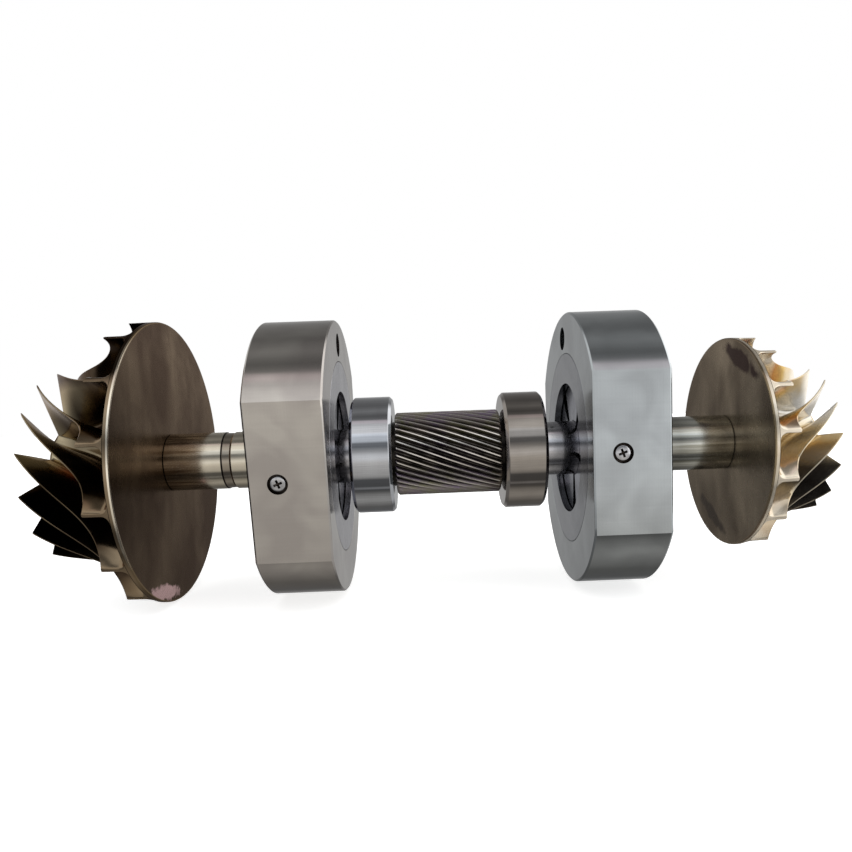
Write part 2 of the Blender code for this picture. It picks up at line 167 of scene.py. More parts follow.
def soften(profile: Profile, closed: bool) -> list[tuple[float, float]]:
    """Round the corners of a profile.

    Args:
        profile: Points as (along, radius, rounding), where rounding is how far it cuts back.
        closed: Whether the last point joins the first.

    Returns:
        The (along, radius) points with three short edges across each rounded corner.
    """
    points: list[tuple[float, float]] = []
    count = len(profile)
    for index, (along, radius, rounding) in enumerate(profile):
        here = Vector((along, radius))
        if rounding <= 0.0 or (not closed and index in (0, count - 1)):
            points.append((along, radius))
            continue
        before = Vector(profile[index - 1][:2]) - here
        after = Vector(profile[(index + 1) % count][:2]) - here
        start = here + before.normalized() * min(rounding, ROUND_LIMIT * before.length)
        end = here + after.normalized() * min(rounding, ROUND_LIMIT * after.length)
        for step in range(ROUND_STEPS + 1):
            share = step / ROUND_STEPS
            point = start * (1.0 - share) ** 2 + here * 2.0 * share * (1.0 - share) + end * share**2
            points.append((point.x, point.y))
    return points


def loft(shape: BMesh, rows: Sequence[Sequence], closed: bool = True, capped: bool = False) -> None:
    """Bridge each row of vertices to the next one with quads.

    Args:
        shape: The mesh that holds the vertices.
        rows: The rows, all of the same length.
        closed: Whether each row's last vertex joins its first.
        capped: Whether the first and the last row are filled.
    """
    count = len(rows[0])
    for first, second in zip(rows, rows[1:]):
        for index in range(count if closed else count - 1):
            after = (index + 1) % count
            shape.faces.new((first[index], first[after], second[after], second[index]))
    if capped:
        shape.faces.new(rows[0])
        shape.faces.new(rows[-1])


def close_pole(shape: BMesh, along: float, ring: Sequence) -> None:
    """Close a ring with a fan to the axis.

    Args:
        shape: The mesh that holds the ring.
        along: Place of the fan's middle along the axis.
        ring: The ring's vertices.
    """
    middle = shape.verts.new((along, 0.0, 0.0))
    for index, vert in enumerate(ring):
        shape.faces.new((vert, ring[(index + 1) % len(ring)], middle))


def turned(profile: Profile, steps: int,
           outline: Callable[[float, int], list[Vector]] | None = None) -> BMesh:
    """Turn a profile about X.

    Args:
        profile: Points as (along, radius, rounding). One that starts and ends at radius 0 is a solid
            with two poles, and any other is closed on itself as a ring.
        steps: Vertices in each ring.
        outline: Gives a ring's points at radius 1 along for shapes that aren't round.

    Returns:
        The turned mesh in shaft coordinates.
    """
    shape = bmesh.new()
    solid = profile[0][1] == 0.0
    points = soften(profile, not solid)
    inner = points[1:-1] if solid else points
    rings = []
    for along, radius in inner:
        if outline:
            places = outline(radius, steps)
        else:
            places = [around(0.0, radius, angle) for angle in even_angles(steps)]
        rings.append([shape.verts.new(place + Vector((along, 0.0, 0.0))) for place in places])
    loft(shape, rings)
    if solid:
        close_pole(shape, points[0][0], rings[0])
        close_pole(shape, points[-1][0], rings[-1])
    else:
        loft(shape, (rings[-1], rings[0]))
    return shape


def as_object(name: str, shape: BMesh, place: Matrix, finish: Material) -> Object:
    """Turn a bmesh into a linked object with its place in its mesh.

    Args:
        name: The object's name.
        shape: The mesh, which is used up.
        place: Matrix from the mesh's coordinates to the row frame.
        finish: The material.

    Returns:
        The object, at the origin.
    """
    bmesh.ops.transform(shape, matrix=place, verts=shape.verts)
    bmesh.ops.recalc_face_normals(shape, faces=shape.faces)
    mesh = bpy.data.meshes.new(name)
    shape.to_mesh(mesh)
    shape.free()
    mesh.materials.append(finish)
    thing = bpy.data.objects.new(name, mesh)
    bpy.context.scene.collection.objects.link(thing)
    return thing


def bake_modifiers(thing: Object) -> None:
    """Replace an object's mesh by its evaluated one and remove its modifiers.

    Args:
        thing: The object.
    """
    graph = bpy.context.evaluated_depsgraph_get()
    mesh = bpy.data.meshes.new_from_object(thing.evaluated_get(graph))
    thing.modifiers.clear()
    old = thing.data
    thing.data = mesh
    mesh.name = thing.name
    bpy.data.meshes.remove(old)


def cut_away(thing: Object, cutters: Sequence[Object]) -> None:
    """Cut shapes out of an object and remove the cutters.

    Args:
        thing: The object to cut.
        cutters: Closed shapes to take away.
    """
    for cutter in cutters:
        step = thing.modifiers.new("cut", "BOOLEAN")
        step.operation = "DIFFERENCE"
        step.solver = "EXACT"
        step.material_mode = "TRANSFER"
        step.object = cutter
    bake_modifiers(thing)
    for cutter in cutters:
        bpy.data.objects.remove(cutter)


def complete(thing: Object, body: str, slot: Slot, nodes: Sequence[str], crease: float = 32.0) -> None:
    """Shade a piece and set it on its body.

    Args:
        thing: The piece.
        body: The CAD body that it rides on.
        slot: The record's slot that its finish comes from. Not used.
        nodes: The CAD nodes that it stands for.
        crease: Edges that bend by more degrees than this stay sharp.
    """
    thing.data.shade_smooth()
    thing.data.set_sharp_from_angle(angle=math.radians(crease))
    weighted = thing.modifiers.new("weighted", "WEIGHTED_NORMAL")
    weighted.keep_sharp = True
    bake_modifiers(thing)
    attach(thing, body)
    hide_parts(*nodes)
    log.info("%s: %d faces on %s", thing.name, len(thing.data.polygons), body)


def linear(hex_text: str) -> tuple[float, float, float, float]:
    """Turn an sRGB hex value into the linear colour that a node takes.

    Args:
        hex_text: The value, such as #B4AEA4.

    Returns:
        Red, green, blue and a full alpha.
    """
    values = [int(hex_text[index:index + 2], 16) / 255.0 for index in (1, 3, 5)]
    red, green, blue = (v / 12.92 if v <= 0.04045 else ((v + 0.055) / 1.055) ** 2.4 for v in values)
    return (red, green, blue, 1.0)


def add_node(tree: NodeTree, kind: str, inputs: dict | None = None, **settings: object) -> Node:
    """Add a node with its settings and links.

    Args:
        tree: The node tree.
        kind: The node's type.
        inputs: Sockets, numbers or hex colours by input name or index.
        **settings: The node's own properties. stops gives a ramp's (place, colour) pairs.

    Returns:
        The node.
    """
    node = tree.nodes.new(kind)
    stops = settings.pop("stops", ())
    for name, value in settings.items():
        setattr(node, name, value)
    for key, value in (inputs or {}).items():
        if isinstance(value, NodeSocket):
            tree.links.new(value, node.inputs[key])
        else:
            node.inputs[key].default_value = linear(value) if isinstance(value, str) else value
    if stops:
        ramp = node.color_ramp.elements
        while len(ramp) < len(stops):
            ramp.new(0.5)
        for element, (place, color) in zip(ramp, stops):
            element.position = place
            element.color = linear(color) if isinstance(color, str) else color
    return node


class Step(Enum):
    """Steps that finishes are made of: node type, input sockets, output socket and settings."""

    ADD = ("ShaderNodeMath", (0, 1), 0, {"operation": "ADD"})
    SUBTRACT = ("ShaderNodeMath", (0, 1), 0, {"operation": "SUBTRACT"})
    MULTIPLY = ("ShaderNodeMath", (0, 1), 0, {"operation": "MULTIPLY"})
    DIVIDE = ("ShaderNodeMath", (0, 1), 0, {"operation": "DIVIDE"})
    MAXIMUM = ("ShaderNodeMath", (0, 1), 0, {"operation": "MAXIMUM"})
    ABOVE = ("ShaderNodeMath", (0, 1), 0, {"operation": "GREATER_THAN"})
    ANGLE = ("ShaderNodeMath", (0, 1), 0, {"operation": "ARCTAN2"})
    ABSOLUTE = ("ShaderNodeMath", (0,), 0, {"operation": "ABSOLUTE"})
    MULTIPLY_ADD = ("ShaderNodeMath", (0, 1, 2), 0, {"operation": "MULTIPLY_ADD"})
    RANGE = ("ShaderNodeMapRange", (0, 1, 2, 3, 4), 0, {})
    SOFT_RANGE = ("ShaderNodeMapRange", (0, 1, 2, 3, 4), 0, {"interpolation_type": "SMOOTHSTEP"})
    BLEND = ("ShaderNodeMix", (0, 6, 7), 2, {"data_type": "RGBA"})
    SCALE = ("ShaderNodeVectorMath", (0, "Scale"), 0, {"operation": "SCALE"})
    LIMIT = ("ShaderNodeVectorMath", (0, 1), 0, {"operation": "MINIMUM"})
    LENGTH = ("ShaderNodeVectorMath", (0,), "Value", {"operation": "LENGTH"})

    def add(self, tree: NodeTree, *values: NodeSocket | float | str | tuple) -> NodeSocket:
        """Add this step to a tree.

        Args:
            tree: The node tree.
            *values: Sockets, numbers or hex colours, in the order of the step's inputs.

        Returns:
            The socket with its result.
        """
        kind, sockets, output, settings = self.value
        return add_node(tree, kind, dict(zip(sockets, values)), **settings).outputs[output]


class RingOfCopies:
    """The Geometry Nodes tree that sets copies of one pitch around the shaft."""

    SOCKETS = (
        ("Pitch", "INPUT", "NodeSocketGeometry"),
        ("Count", "INPUT", "NodeSocketInt"),
        ("Axis", "INPUT", "NodeSocketVector"),
        ("Seam", "INPUT", "NodeSocketFloat"),
        ("Finish", "INPUT", "NodeSocketMaterial"),
        ("Ring", "OUTPUT", "NodeSocketGeometry"),
    )

    def __init__(self) -> None:
        """Build the tree, which every ring shares."""
        tree = bpy.data.node_groups.new("ring_of_copies", "GeometryNodeTree")
        for name, way, kind in self.SOCKETS:
            tree.interface.new_socket(name, in_out=way, socket_type=kind)
        given = add_node(tree, "NodeGroupInput").outputs
        away = Step.SCALE.add(tree, given["Axis"], -1.0)
        centred = add_node(tree, "GeometryNodeTransform", {"Geometry": given["Pitch"], "Translation": away})
        line = add_node(tree, "GeometryNodeMeshLine", {"Count": given["Count"], "Offset": (0.0, 0.0, 0.0)})
        index = add_node(tree, "GeometryNodeInputIndex").outputs[0]
        angle = Step.MULTIPLY.add(tree, index, Step.DIVIDE.add(tree, math.tau, given["Count"]))
        turn = add_node(tree, "ShaderNodeCombineXYZ", {"X": angle})
        copies = add_node(tree, "GeometryNodeInstanceOnPoints", {
            "Points": line.outputs[0], "Instance": centred.outputs[0], "Rotation": turn.outputs[0]})
        solid = add_node(tree, "GeometryNodeRealizeInstances", {"Geometry": copies.outputs[0]})
        merged = add_node(tree, "GeometryNodeMergeByDistance", {
            "Geometry": solid.outputs[0], "Distance": given["Seam"]})
        back = add_node(tree, "GeometryNodeTransform", {
            "Geometry": merged.outputs[0], "Translation": given["Axis"]})
        dressed = add_node(tree, "GeometryNodeSetMaterial", {
            "Geometry": back.outputs[0], "Material": given["Finish"]})
        add_node(tree, "NodeGroupOutput", {"Ring": dressed.outputs[0]})
        self.tree = tree

    def apply(self, thing: Object, count: int, axis: ShaftAxis, finish: Material,
              seam: float = 0.002 * MM) -> None:
        """Turn one pitch into the whole ring as plain mesh.

        Args:
            thing: The object that holds one pitch.
            count: Number of copies.
            axis: The axis that they stand around.
            finish: Their material.
            seam: Vertices closer than this are merged.
        """
        values = {"Count": count, "Axis": (0.0, axis.y, axis.z), "Seam": seam, "Finish": finish}
        step = thing.modifiers.new("ring", "NODES")
        step.node_group = self.tree
        for item in self.tree.interface.items_tree:
            if item.name in values:
                step[item.identifier] = values[item.name]
        bake_modifiers(thing)
        shape = bmesh.new()
        shape.from_mesh(thing.data)
        bmesh.ops.recalc_face_normals(shape, faces=shape.faces)
        shape.to_mesh(thing.data)
        shape.free()


@dataclass(frozen=True)
class Patch:
    """A stain or scuff on an end face, as a soft ellipse about the shaft's axis."""

    tone: str
    y_mm: float
    z_mm: float
    turn_deg: float
    long_mm: float
    wide_mm: float
    strength: float = 0.8
    grain_mm: float = 14.0


@dataclass(frozen=True)
class Finish:
    """A metal finish. Its patterns follow the shaft: along it, out from it and around it.

    tilt paints light and shade, darkening or lightening the metal from below to above, and a bare_share under
    1 leaves an oxide film.
    """

    name: str
    tone: str
    stain: str
    roughness: float
    # Turning marks are really 0.1 to 0.2 mm apart, and are drawn coarser so that they show
    mark_mm: float = 0.5
    mark_depth: float = 0.1
    cloud_mm: float = 35.0
    cloud_share: float = 0.5
    streak_mm: float = 1.6
    streak_share: float = 0.12
    face_shade: float = 1.0
    cloud_detail: float = 2.0
    tilt: float = 0.0
    light_tilt_mm: float = 22.0
    bare_share: float = 1.0
    edge_tint: str = "#FFFFFF"
    patches: tuple[Patch, ...] = ()

    def start(self) -> tuple[Material, NodeTree, Node]:
        """Start the material.

        Returns:
            The new material, its tree and its metal shader.
        """
        material = bpy.data.materials.new(self.name)
        material.use_nodes = True
        tree = material.node_tree
        shader = tree.nodes["Principled BSDF"]
        shader.inputs["Metallic"].default_value = self.bare_share
        shader.inputs["Specular Tint"].default_value = linear(self.edge_tint)
        return material, tree, shader

    def coordinates(self, tree: NodeTree, axis: ShaftAxis) -> Sockets:
        """Add the nodes that measure a point from the shaft.

        Args:
            tree: The material's tree.
            axis: The shaft's axis.

        Returns:
            Sockets by name: point (centred), along, radius, height, and facing, 1 on end faces.
        """
        place = add_node(tree, "ShaderNodeTexCoord").outputs
        centred = add_node(tree, "ShaderNodeMapping", {
            "Vector": place["Object"], "Location": (-axis.middle, -axis.y, -axis.z)}).outputs[0]
        parts = add_node(tree, "ShaderNodeSeparateXYZ", {0: centred}).outputs
        flat = add_node(tree, "ShaderNodeCombineXYZ", {"Y": parts["Y"], "Z": parts["Z"]}).outputs[0]
        radius = Step.LENGTH.add(tree, flat)
        normal = add_node(tree, "ShaderNodeSeparateXYZ", {0: place["Normal"]}).outputs["X"]
        end = Step.ABOVE.add(tree, Step.ABSOLUTE.add(tree, normal), END_FACE)
        return {"point": centred, "along": parts["X"], "radius": radius, "facing": end, "height": parts["Z"]}

    def pattern(self, tree: NodeTree, point: NodeSocket, size_mm: float,
                stretch: tuple[float, float, float] = (1.0, 1.0, 1.0), detail: float = 4.0) -> NodeSocket:
        """Draw soft clouds of a real size.

        Args:
            tree: The material's tree.
            point: The coordinates.
            size_mm: Size of the clouds.
            stretch: Scale on each axis. A small value draws the clouds out into streaks.
            detail: Their finer octaves.

        Returns:
            Their value, about 0.5 on average.
        """
        drawn = add_node(tree, "ShaderNodeMapping", {"Vector": point, "Scale": stretch}).outputs[0]
        return add_node(tree, "ShaderNodeTexNoise", {
            "Vector": drawn, "Scale": 1.0 / (size_mm * MM), "Detail": detail, "Roughness": 0.62,
            "Distortion": 0.4}).outputs[0]

    def product(self, tree: NodeTree, *factors: NodeSocket) -> NodeSocket:
        """Multiply several values.

        Args:
            tree: The material's tree.
            *factors: The values.

        Returns:
            Their product.
        """
        result = factors[0]
        for factor in factors[1:]:
            result = Step.MULTIPLY.add(tree, result, factor)
        return result

    def lay_patches(self, tree: NodeTree, color: NodeSocket, spot: Sockets) -> NodeSocket:
        """Lay the stains and scuffs over a colour.

        Args:
            tree: The material's tree.
            color: The colour under them.
            spot: The sockets that coordinates gives.

        Returns:
            The colour with the patches.
        """
        for patch in self.patches:
            local = add_node(tree, "ShaderNodeMapping", {
                "Vector": spot["point"], "Location": (0.0, patch.y_mm * MM, patch.z_mm * MM),
                "Rotation": (math.radians(patch.turn_deg), 0.0, 0.0),
                "Scale": (1000.0, patch.long_mm * MM, patch.wide_mm * MM)}, vector_type="TEXTURE").outputs[0]
            edge = self.pattern(tree, spot["point"], patch.grain_mm, detail=5.0)
            rough = Step.MULTIPLY_ADD.add(tree, edge, 1.6, Step.LENGTH.add(tree, local))
            inside = Step.RANGE.add(tree, rough, 1.9, 1.55, 0.0, patch.strength)
            color = Step.BLEND.add(tree, self.product(tree, inside, spot["facing"]), color, patch.tone)
        return color

    def make(self, axis: ShaftAxis) -> Material:
        """Make the material: fine turning marks and lengthwise streaks over soft clouds.

        Args:
            axis: The shaft's axis.

        Returns:
            The material.
        """
        material, tree, shader = self.start()
        spot = self.coordinates(tree, axis)
        across = add_node(tree, "ShaderNodeMix", {
            0: spot["facing"], 2: spot["along"], 3: spot["radius"]}).outputs[0]
        marks = add_node(tree, "ShaderNodeTexNoise", {
            "W": across, "Scale": 1.0 / (self.mark_mm * MM), "Detail": 3.0, "Roughness": 0.7},
            noise_dimensions="1D").outputs[0]
        clouds = self.pattern(tree, spot["point"], self.cloud_mm, detail=self.cloud_detail)
        streaks = self.pattern(tree, spot["point"], self.streak_mm, DRAWN_OUT, 3.0)
        share = Step.RANGE.add(tree, clouds, 0.38, 0.62, 0.0, self.cloud_share)
        tone = Step.BLEND.add(tree, share, self.tone, self.stain)
        less, more = 1.0 - self.streak_share, 1.0 + self.streak_share
        # Painted light and shade: the metal grows lighter or darker from below to above, and the end faces
        # can be darker
        ends_mm, gains = (-self.light_tilt_mm, self.light_tilt_mm), (1.0 + self.tilt, 1.0 - self.tilt)
        gain = self.product(
            tree, Step.RANGE.add(tree, streaks, 0.3, 0.7, more, less),
            Step.RANGE.add(tree, marks, 0.2, 0.8, 0.95, 1.05),
            Step.RANGE.add(tree, spot["facing"], 0.0, 1.0, 1.0, self.face_shade),
            Step.RANGE.add(tree, spot["height"], *metres(ends_mm), *gains))
        color = self.lay_patches(tree, Step.SCALE.add(tree, tone, gain), spot)
        rough = Step.RANGE.add(tree, clouds, 0.3, 0.7, self.roughness - 0.03, self.roughness + 0.04)
        bump = add_node(tree, "ShaderNodeBump", {
            "Height": marks, "Strength": self.mark_depth, "Distance": 0.05 * MM}).outputs[0]
        tree.links.new(color, shader.inputs["Base Color"])
        tree.links.new(rough, shader.inputs["Roughness"])
        tree.links.new(bump, shader.inputs["Normal"])
        return material


@dataclass(frozen=True)
class ShaftFinish(Finish):
    """Polished journal steel, stained brown towards the larger impeller, with painted light towards both
    impellers and painted shade in the narrow gaps by the pinion and the groove.

    Places are in mm along the shaft from the pinion's middle, and each pair is where a change starts
    and ends. The groove's third number is its radius.
    """

    cream: str = "#F0E6D2"
    brown: str = "#94826C"
    olive: str = "#CACAC2"
    olive_stain: str = "#8E8C7E"
    gap_shade: str = "#2A2724"
    groove: str = "#A49A8C"
    left_mm: tuple[float, float] = (-131.0, -139.0)
    right_mm: tuple[float, float] = (139.0, 142.0)
    brown_mm: tuple[float, float] = (-168.0, -206.0)
    left_painted_light_mm: tuple[float, float] = (-170.0, -186.0)
    right_painted_light_mm: tuple[float, float] = (170.0, 188.0)
    groove_mm: tuple[float, float, float] = (-164.3, -157.1, 20.95)
    gap_shade_mm: tuple[float, float] = (-40.5, 40.5)
    streaks_mm: float = 2.6

    def band(self, tree: NodeTree, value: NodeSocket, low_mm: float, high_mm: float,
             soft_mm: float = 0.3) -> NodeSocket:
        """Mark what lies between two places.

        Args:
            tree: The material's tree.
            value: The coordinate.
            low_mm: The first place.
            high_mm: The second place.
            soft_mm: Width of the soft edges outside them.

        Returns:
            A mask that is 1 between the places.
        """
        above = Step.RANGE.add(tree, value, *metres((low_mm - soft_mm, low_mm)))
        below = Step.RANGE.add(tree, value, *metres((high_mm + soft_mm, high_mm)))
        return self.product(tree, above, below)

    def make(self, axis: ShaftAxis) -> Material:
        """Make the material: the plain finish by the collars, and stained steel with painted light at the two
        ends.

        Args:
            axis: The shaft's axis.

        Returns:
            The material.
        """
        material = super().make(axis)
        tree = material.node_tree
        shader = tree.nodes["Principled BSDF"]
        color = shader.inputs["Base Color"].links[0].from_socket
        spot = self.coordinates(tree, axis)
        along = spot["along"]
        drawn = self.pattern(tree, spot["point"], self.streaks_mm, DRAWN_OUT, 3.0)
        browned = Step.ADD.add(tree, drawn, Step.RANGE.add(tree, along, *metres(self.brown_mm), -0.22, 0.10))
        browned = Step.RANGE.add(tree, browned, 0.42, 0.66, 0.0, 0.95)
        stained = Step.RANGE.add(tree, drawn, 0.40, 0.66, 0.0, 0.85)
        # Painted light: both ends of the shaft grow brighter towards their impellers
        left_painted_light = Step.RANGE.add(tree, along, *metres(self.left_painted_light_mm), 0.8, 1.08)
        right_painted_light = Step.RANGE.add(tree, along, *metres(self.right_painted_light_mm), 0.76, 1.45)
        left = Step.SCALE.add(tree, Step.BLEND.add(tree, browned, self.cream, self.brown), left_painted_light)
        right = Step.SCALE.add(tree, Step.BLEND.add(tree, stained, self.olive, self.olive_stain), right_painted_light)
        color = Step.BLEND.add(tree, Step.RANGE.add(tree, along, *metres(self.left_mm)), color, left)
        color = Step.BLEND.add(tree, Step.RANGE.add(tree, along, *metres(self.right_mm)), color, right)
        low, high, depth = self.groove_mm
        sunk = Step.RANGE.add(tree, spot["radius"], *metres((depth + 0.3, depth)))
        cut = self.product(tree, self.band(tree, along, low, high), sunk)
        color = Step.BLEND.add(tree, cut, color, self.groove)
        # Painted shade: a dark line at the groove's left edge, and dark bands in the narrow gaps between the
        # pinion's ends and the collars
        for edges in ((low - 0.2, low + 0.5), self.gap_shade_mm):
            color = Step.BLEND.add(tree, self.band(tree, along, *edges), color, self.gap_shade)
        # Bare metal reflects no more light than it gets
        color = Step.LIMIT.add(tree, color, (1.0, 1.0, 1.0))
        tree.links.new(color, shader.inputs["Base Color"])
        return material


@dataclass(frozen=True)
class PinionFinish(Finish):
    """Bright tooth crests, partly a painted highlight, over oily flanks and near-black roots in painted
    shade.
    """

    crest: str = "#DED8D0"
    violet: str = "#6E6270"
    olive: str = "#6C6B54"

    def make(self, axis: ShaftAxis) -> Material:
        """Make the material, which the teeth's height attribute lightens from their roots to their crests.

        Args:
            axis: The shaft's axis.

        Returns:
            The material.
        """
        material, tree, shader = self.start()
        spot = self.coordinates(tree, axis)
        height = add_node(tree, "ShaderNodeAttribute", attribute_name="height").outputs["Fac"]
        clouds = self.pattern(tree, spot["point"], self.cloud_mm)
        hues = self.pattern(tree, spot["point"], 1.7 * self.cloud_mm)
        # Painted shade darkens the teeth from crest to root, and the bright crests are partly a painted
        # highlight
        top = Step.RANGE.add(tree, height, 0.975, 1.0)
        side = Step.RANGE.add(tree, height, 0.05, 0.6)
        oil = Step.BLEND.add(tree, Step.RANGE.add(tree, hues, 0.4, 0.6), self.violet, self.olive)
        tone = Step.BLEND.add(tree, side, self.tone, oil)
        tone = Step.BLEND.add(tree, Step.RANGE.add(tree, clouds, 0.4, 0.7, 0.0, 0.6), tone, self.stain)
        color = Step.BLEND.add(tree, top, tone, self.crest)
        rough = Step.RANGE.add(tree, top, 0.0, 1.0, self.roughness + 0.12, self.roughness)
        tree.links.new(color, shader.inputs["Base Color"])
        tree.links.new(rough, shader.inputs["Roughness"])
        return material


@dataclass(frozen=True)
class ImpellerFinish(Finish):
    """Milled stainless steel with heat tints, painted shade, painted reflections and a painted rim highlight,
    and a brown patina on the disc's back.

    Pairs in mm are heights above the shaft's axis at which a change starts and ends. The glow's pair
    is its middle and its reach.
    """

    outlet: str = "#8C7A62"
    amber: str = "#A8662A"
    straw: str = "#B9944F"
    silver: str = "#C9C3B6"
    painted_shade: str = "#1C130D"
    painted_shade_share: float = 0.8
    low_shade_share: float = 0.93
    shade_height: float = 0.6
    shade_start: float = 0.05
    hollow_mm: tuple[float, float] = (-6.0, 24.0)
    shade_mm: tuple[float, float] = (8.0, -6.0)
    top_mm: tuple[float, float] = (200.0, 210.0)
    heat_mm: tuple[float, float] = (-30.0, 45.0)
    low_heat: float = 0.2
    high_heat: float = 0.9
    glow: str = "#B0502A"
    glow_share: float = 0.0
    glow_mm: tuple[float, float] = (-4.0, 7.0)
    glow_top: float = 0.55
    heat_shift: float = 0.0
    shift_mm: tuple[float, float] = (22.0, 36.0)
    backlight: tuple[float, float] = (0.62, 1.0)
    patina: str = "#857468"
    patina_dark: str = "#54463B"
    rim: str = "#DCCDB4"
    rim_dark: str = "#8A785E"
    fine_mm: float = 9.0
    blotch_mm: float = 52.0
    drip_mm: float = 16.0
    back: float = 0.2
    disc_radius: float = 0.1

    def metal(self, tree: NodeTree, spot: Sockets, clouds: NodeSocket, fine: NodeSocket) -> NodeSocket:
        """Colour the hub and blades, tinted from the outlet to the eye, with painted shade and a painted
        reflection between the blades.

        Args:
            tree: The material's tree.
            spot: The sockets that coordinates gives.
            clouds: The wide soft pattern.
            fine: The fine one.

        Returns:
            The colour.
        """
        up = spot["height"]
        along = add_node(tree, "ShaderNodeAttribute", attribute_name="along").outputs["Fac"]
        height = add_node(tree, "ShaderNodeAttribute", attribute_name="height").outputs["Fac"]
        heat = Step.MULTIPLY_ADD.add(tree, clouds, 0.5, along)
        shift = Step.RANGE.add(tree, up, *metres(self.shift_mm), 0.0, self.heat_shift)
        heat = Step.SUBTRACT.add(tree, heat, shift)
        hot = add_node(tree, "ShaderNodeValToRGB", {0: heat}, stops=(
            (0.27, self.outlet), (0.40, self.amber), (0.56, self.straw), (0.74, self.tone),
            (0.95, self.silver))).outputs[0]
        cool = add_node(tree, "ShaderNodeValToRGB", {0: heat}, stops=(
            (0.26, self.outlet), (0.60, self.tone), (0.95, self.silver))).outputs[0]
        above = Step.RANGE.add(tree, up, *metres(self.heat_mm), self.low_heat, self.high_heat)
        tint = Step.BLEND.add(tree, above, cool, hot)
        # Painted shade lies deep between the blades, on the lower blades and above a given height, and thins
        # out at the outlet and at the eye
        hollow = Step.RANGE.add(tree, height, 0.3 * self.shade_height, self.shade_height, self.painted_shade_share, 0.0)
        inward = Step.RANGE.add(tree, along, self.shade_start, self.shade_start + 0.15)
        hollow = self.product(tree, hollow, Step.RANGE.add(tree, up, *metres(self.hollow_mm)),
                              Step.RANGE.add(tree, along, 0.97, 0.85), inward)
        shade = Step.RANGE.add(tree, up, *metres(self.shade_mm), 0.0, self.low_shade_share)
        shade = self.product(tree, shade, inward)
        top = Step.RANGE.add(tree, up, *metres(self.top_mm), 0.0, self.painted_shade_share)
        share = Step.MAXIMUM.add(tree, Step.MAXIMUM.add(tree, hollow, shade), top)
        share = self.product(tree, share, Step.RANGE.add(tree, fine, 0.3, 0.7, 0.92, 1.0))
        tint = Step.BLEND.add(tree, share, tint, self.painted_shade)
        # Painted reflection: blades that face each other mirror a band of warm light near the shaft's height
        middle, reach = metres(self.glow_mm)
        off = Step.ABSOLUTE.add(tree, Step.SUBTRACT.add(tree, up, middle))
        glow = self.product(tree, Step.RANGE.add(tree, off, reach, 0.4 * reach, 0.0, self.glow_share),
                            Step.RANGE.add(tree, along, 0.35, 0.5),
                            Step.RANGE.add(tree, height, self.glow_top, 0.6 * self.glow_top))
        tint = Step.BLEND.add(tree, glow, tint, self.glow)
        # The blades' outer edges go back to the plain tone, clear of the tints and the painted shade
        plain_edge = Step.RANGE.add(tree, height, 0.984, 1.0, 0.0, 0.6)
        return Step.BLEND.add(tree, plain_edge, tint, self.tone)

    def make(self, axis: ShaftAxis) -> Material:
        """Make the material: patina on the back with painted light from above, a painted highlight on the
        rim, and tints and painted shade along the blades.

        Args:
            axis: The shaft's axis.

        Returns:
            The material.
        """
        material, tree, shader = self.start()
        spot = self.coordinates(tree, axis)
        point, up, wide = spot["point"], spot["height"], self.disc_radius
        clouds = self.pattern(tree, point, self.cloud_mm, detail=1.5)
        fine = self.pattern(tree, point, self.fine_mm, detail=1.0)
        blotches = self.pattern(tree, point, self.blotch_mm, (1.0, 1.0, 0.7), 2.0)
        drips = self.pattern(tree, point, self.drip_mm, (1.0, 1.0, 0.25), 2.0)
        metal = self.metal(tree, spot, clouds, fine)
        blotches = Step.RANGE.add(tree, blotches, 0.36, 0.64)
        drips = Step.RANGE.add(tree, drips, 0.45, 0.75, 0.0, 0.45)
        patina = Step.BLEND.add(tree, blotches, self.patina_dark, self.patina)
        patina = Step.BLEND.add(tree, drips, patina, self.patina_dark)
        # Painted light: the patina on the disc's back is darker towards the bottom
        light = Step.RANGE.add(tree, up, -0.1 * wide, 0.85 * wide, *self.backlight)
        patina = self.lay_patches(tree, Step.SCALE.add(tree, patina, light), spot)
        out = Step.ABSOLUTE.add(tree, spot["along"])
        behind = Step.RANGE.add(tree, out, self.back + 0.25 * MM, self.back + 0.15 * MM)
        color = Step.BLEND.add(tree, behind, metal, patina)
        # Painted highlight on the rim's chamfer, brightest near the shaft's height
        outer = Step.RANGE.add(tree, spot["radius"], wide - 1.2 * MM, wide - 0.9 * MM)
        low = Step.RANGE.add(tree, out, self.back + 1.4 * MM, self.back + 1.2 * MM)
        lit = self.product(tree, Step.RANGE.add(tree, up, -0.62 * wide, -0.3 * wide),
                           Step.RANGE.add(tree, up, 0.85 * wide, 0.5 * wide))
        rim = Step.BLEND.add(tree, lit, self.rim_dark, self.rim)
        color = Step.BLEND.add(tree, self.product(tree, outer, low), color, rim)
        smooth = Step.RANGE.add(tree, fine, 0.3, 0.7, self.roughness - 0.04, self.roughness + 0.05)
        rough = Step.MULTIPLY_ADD.add(tree, behind, 0.10, smooth)
        bump = add_node(tree, "ShaderNodeBump", {
            "Height": fine, "Strength": self.mark_depth, "Distance": 0.1 * MM}).outputs[0]
        tree.links.new(color, shader.inputs["Base Color"])
        tree.links.new(rough, shader.inputs["Roughness"])
        tree.links.new(bump, shader.inputs["Normal"])
        return material


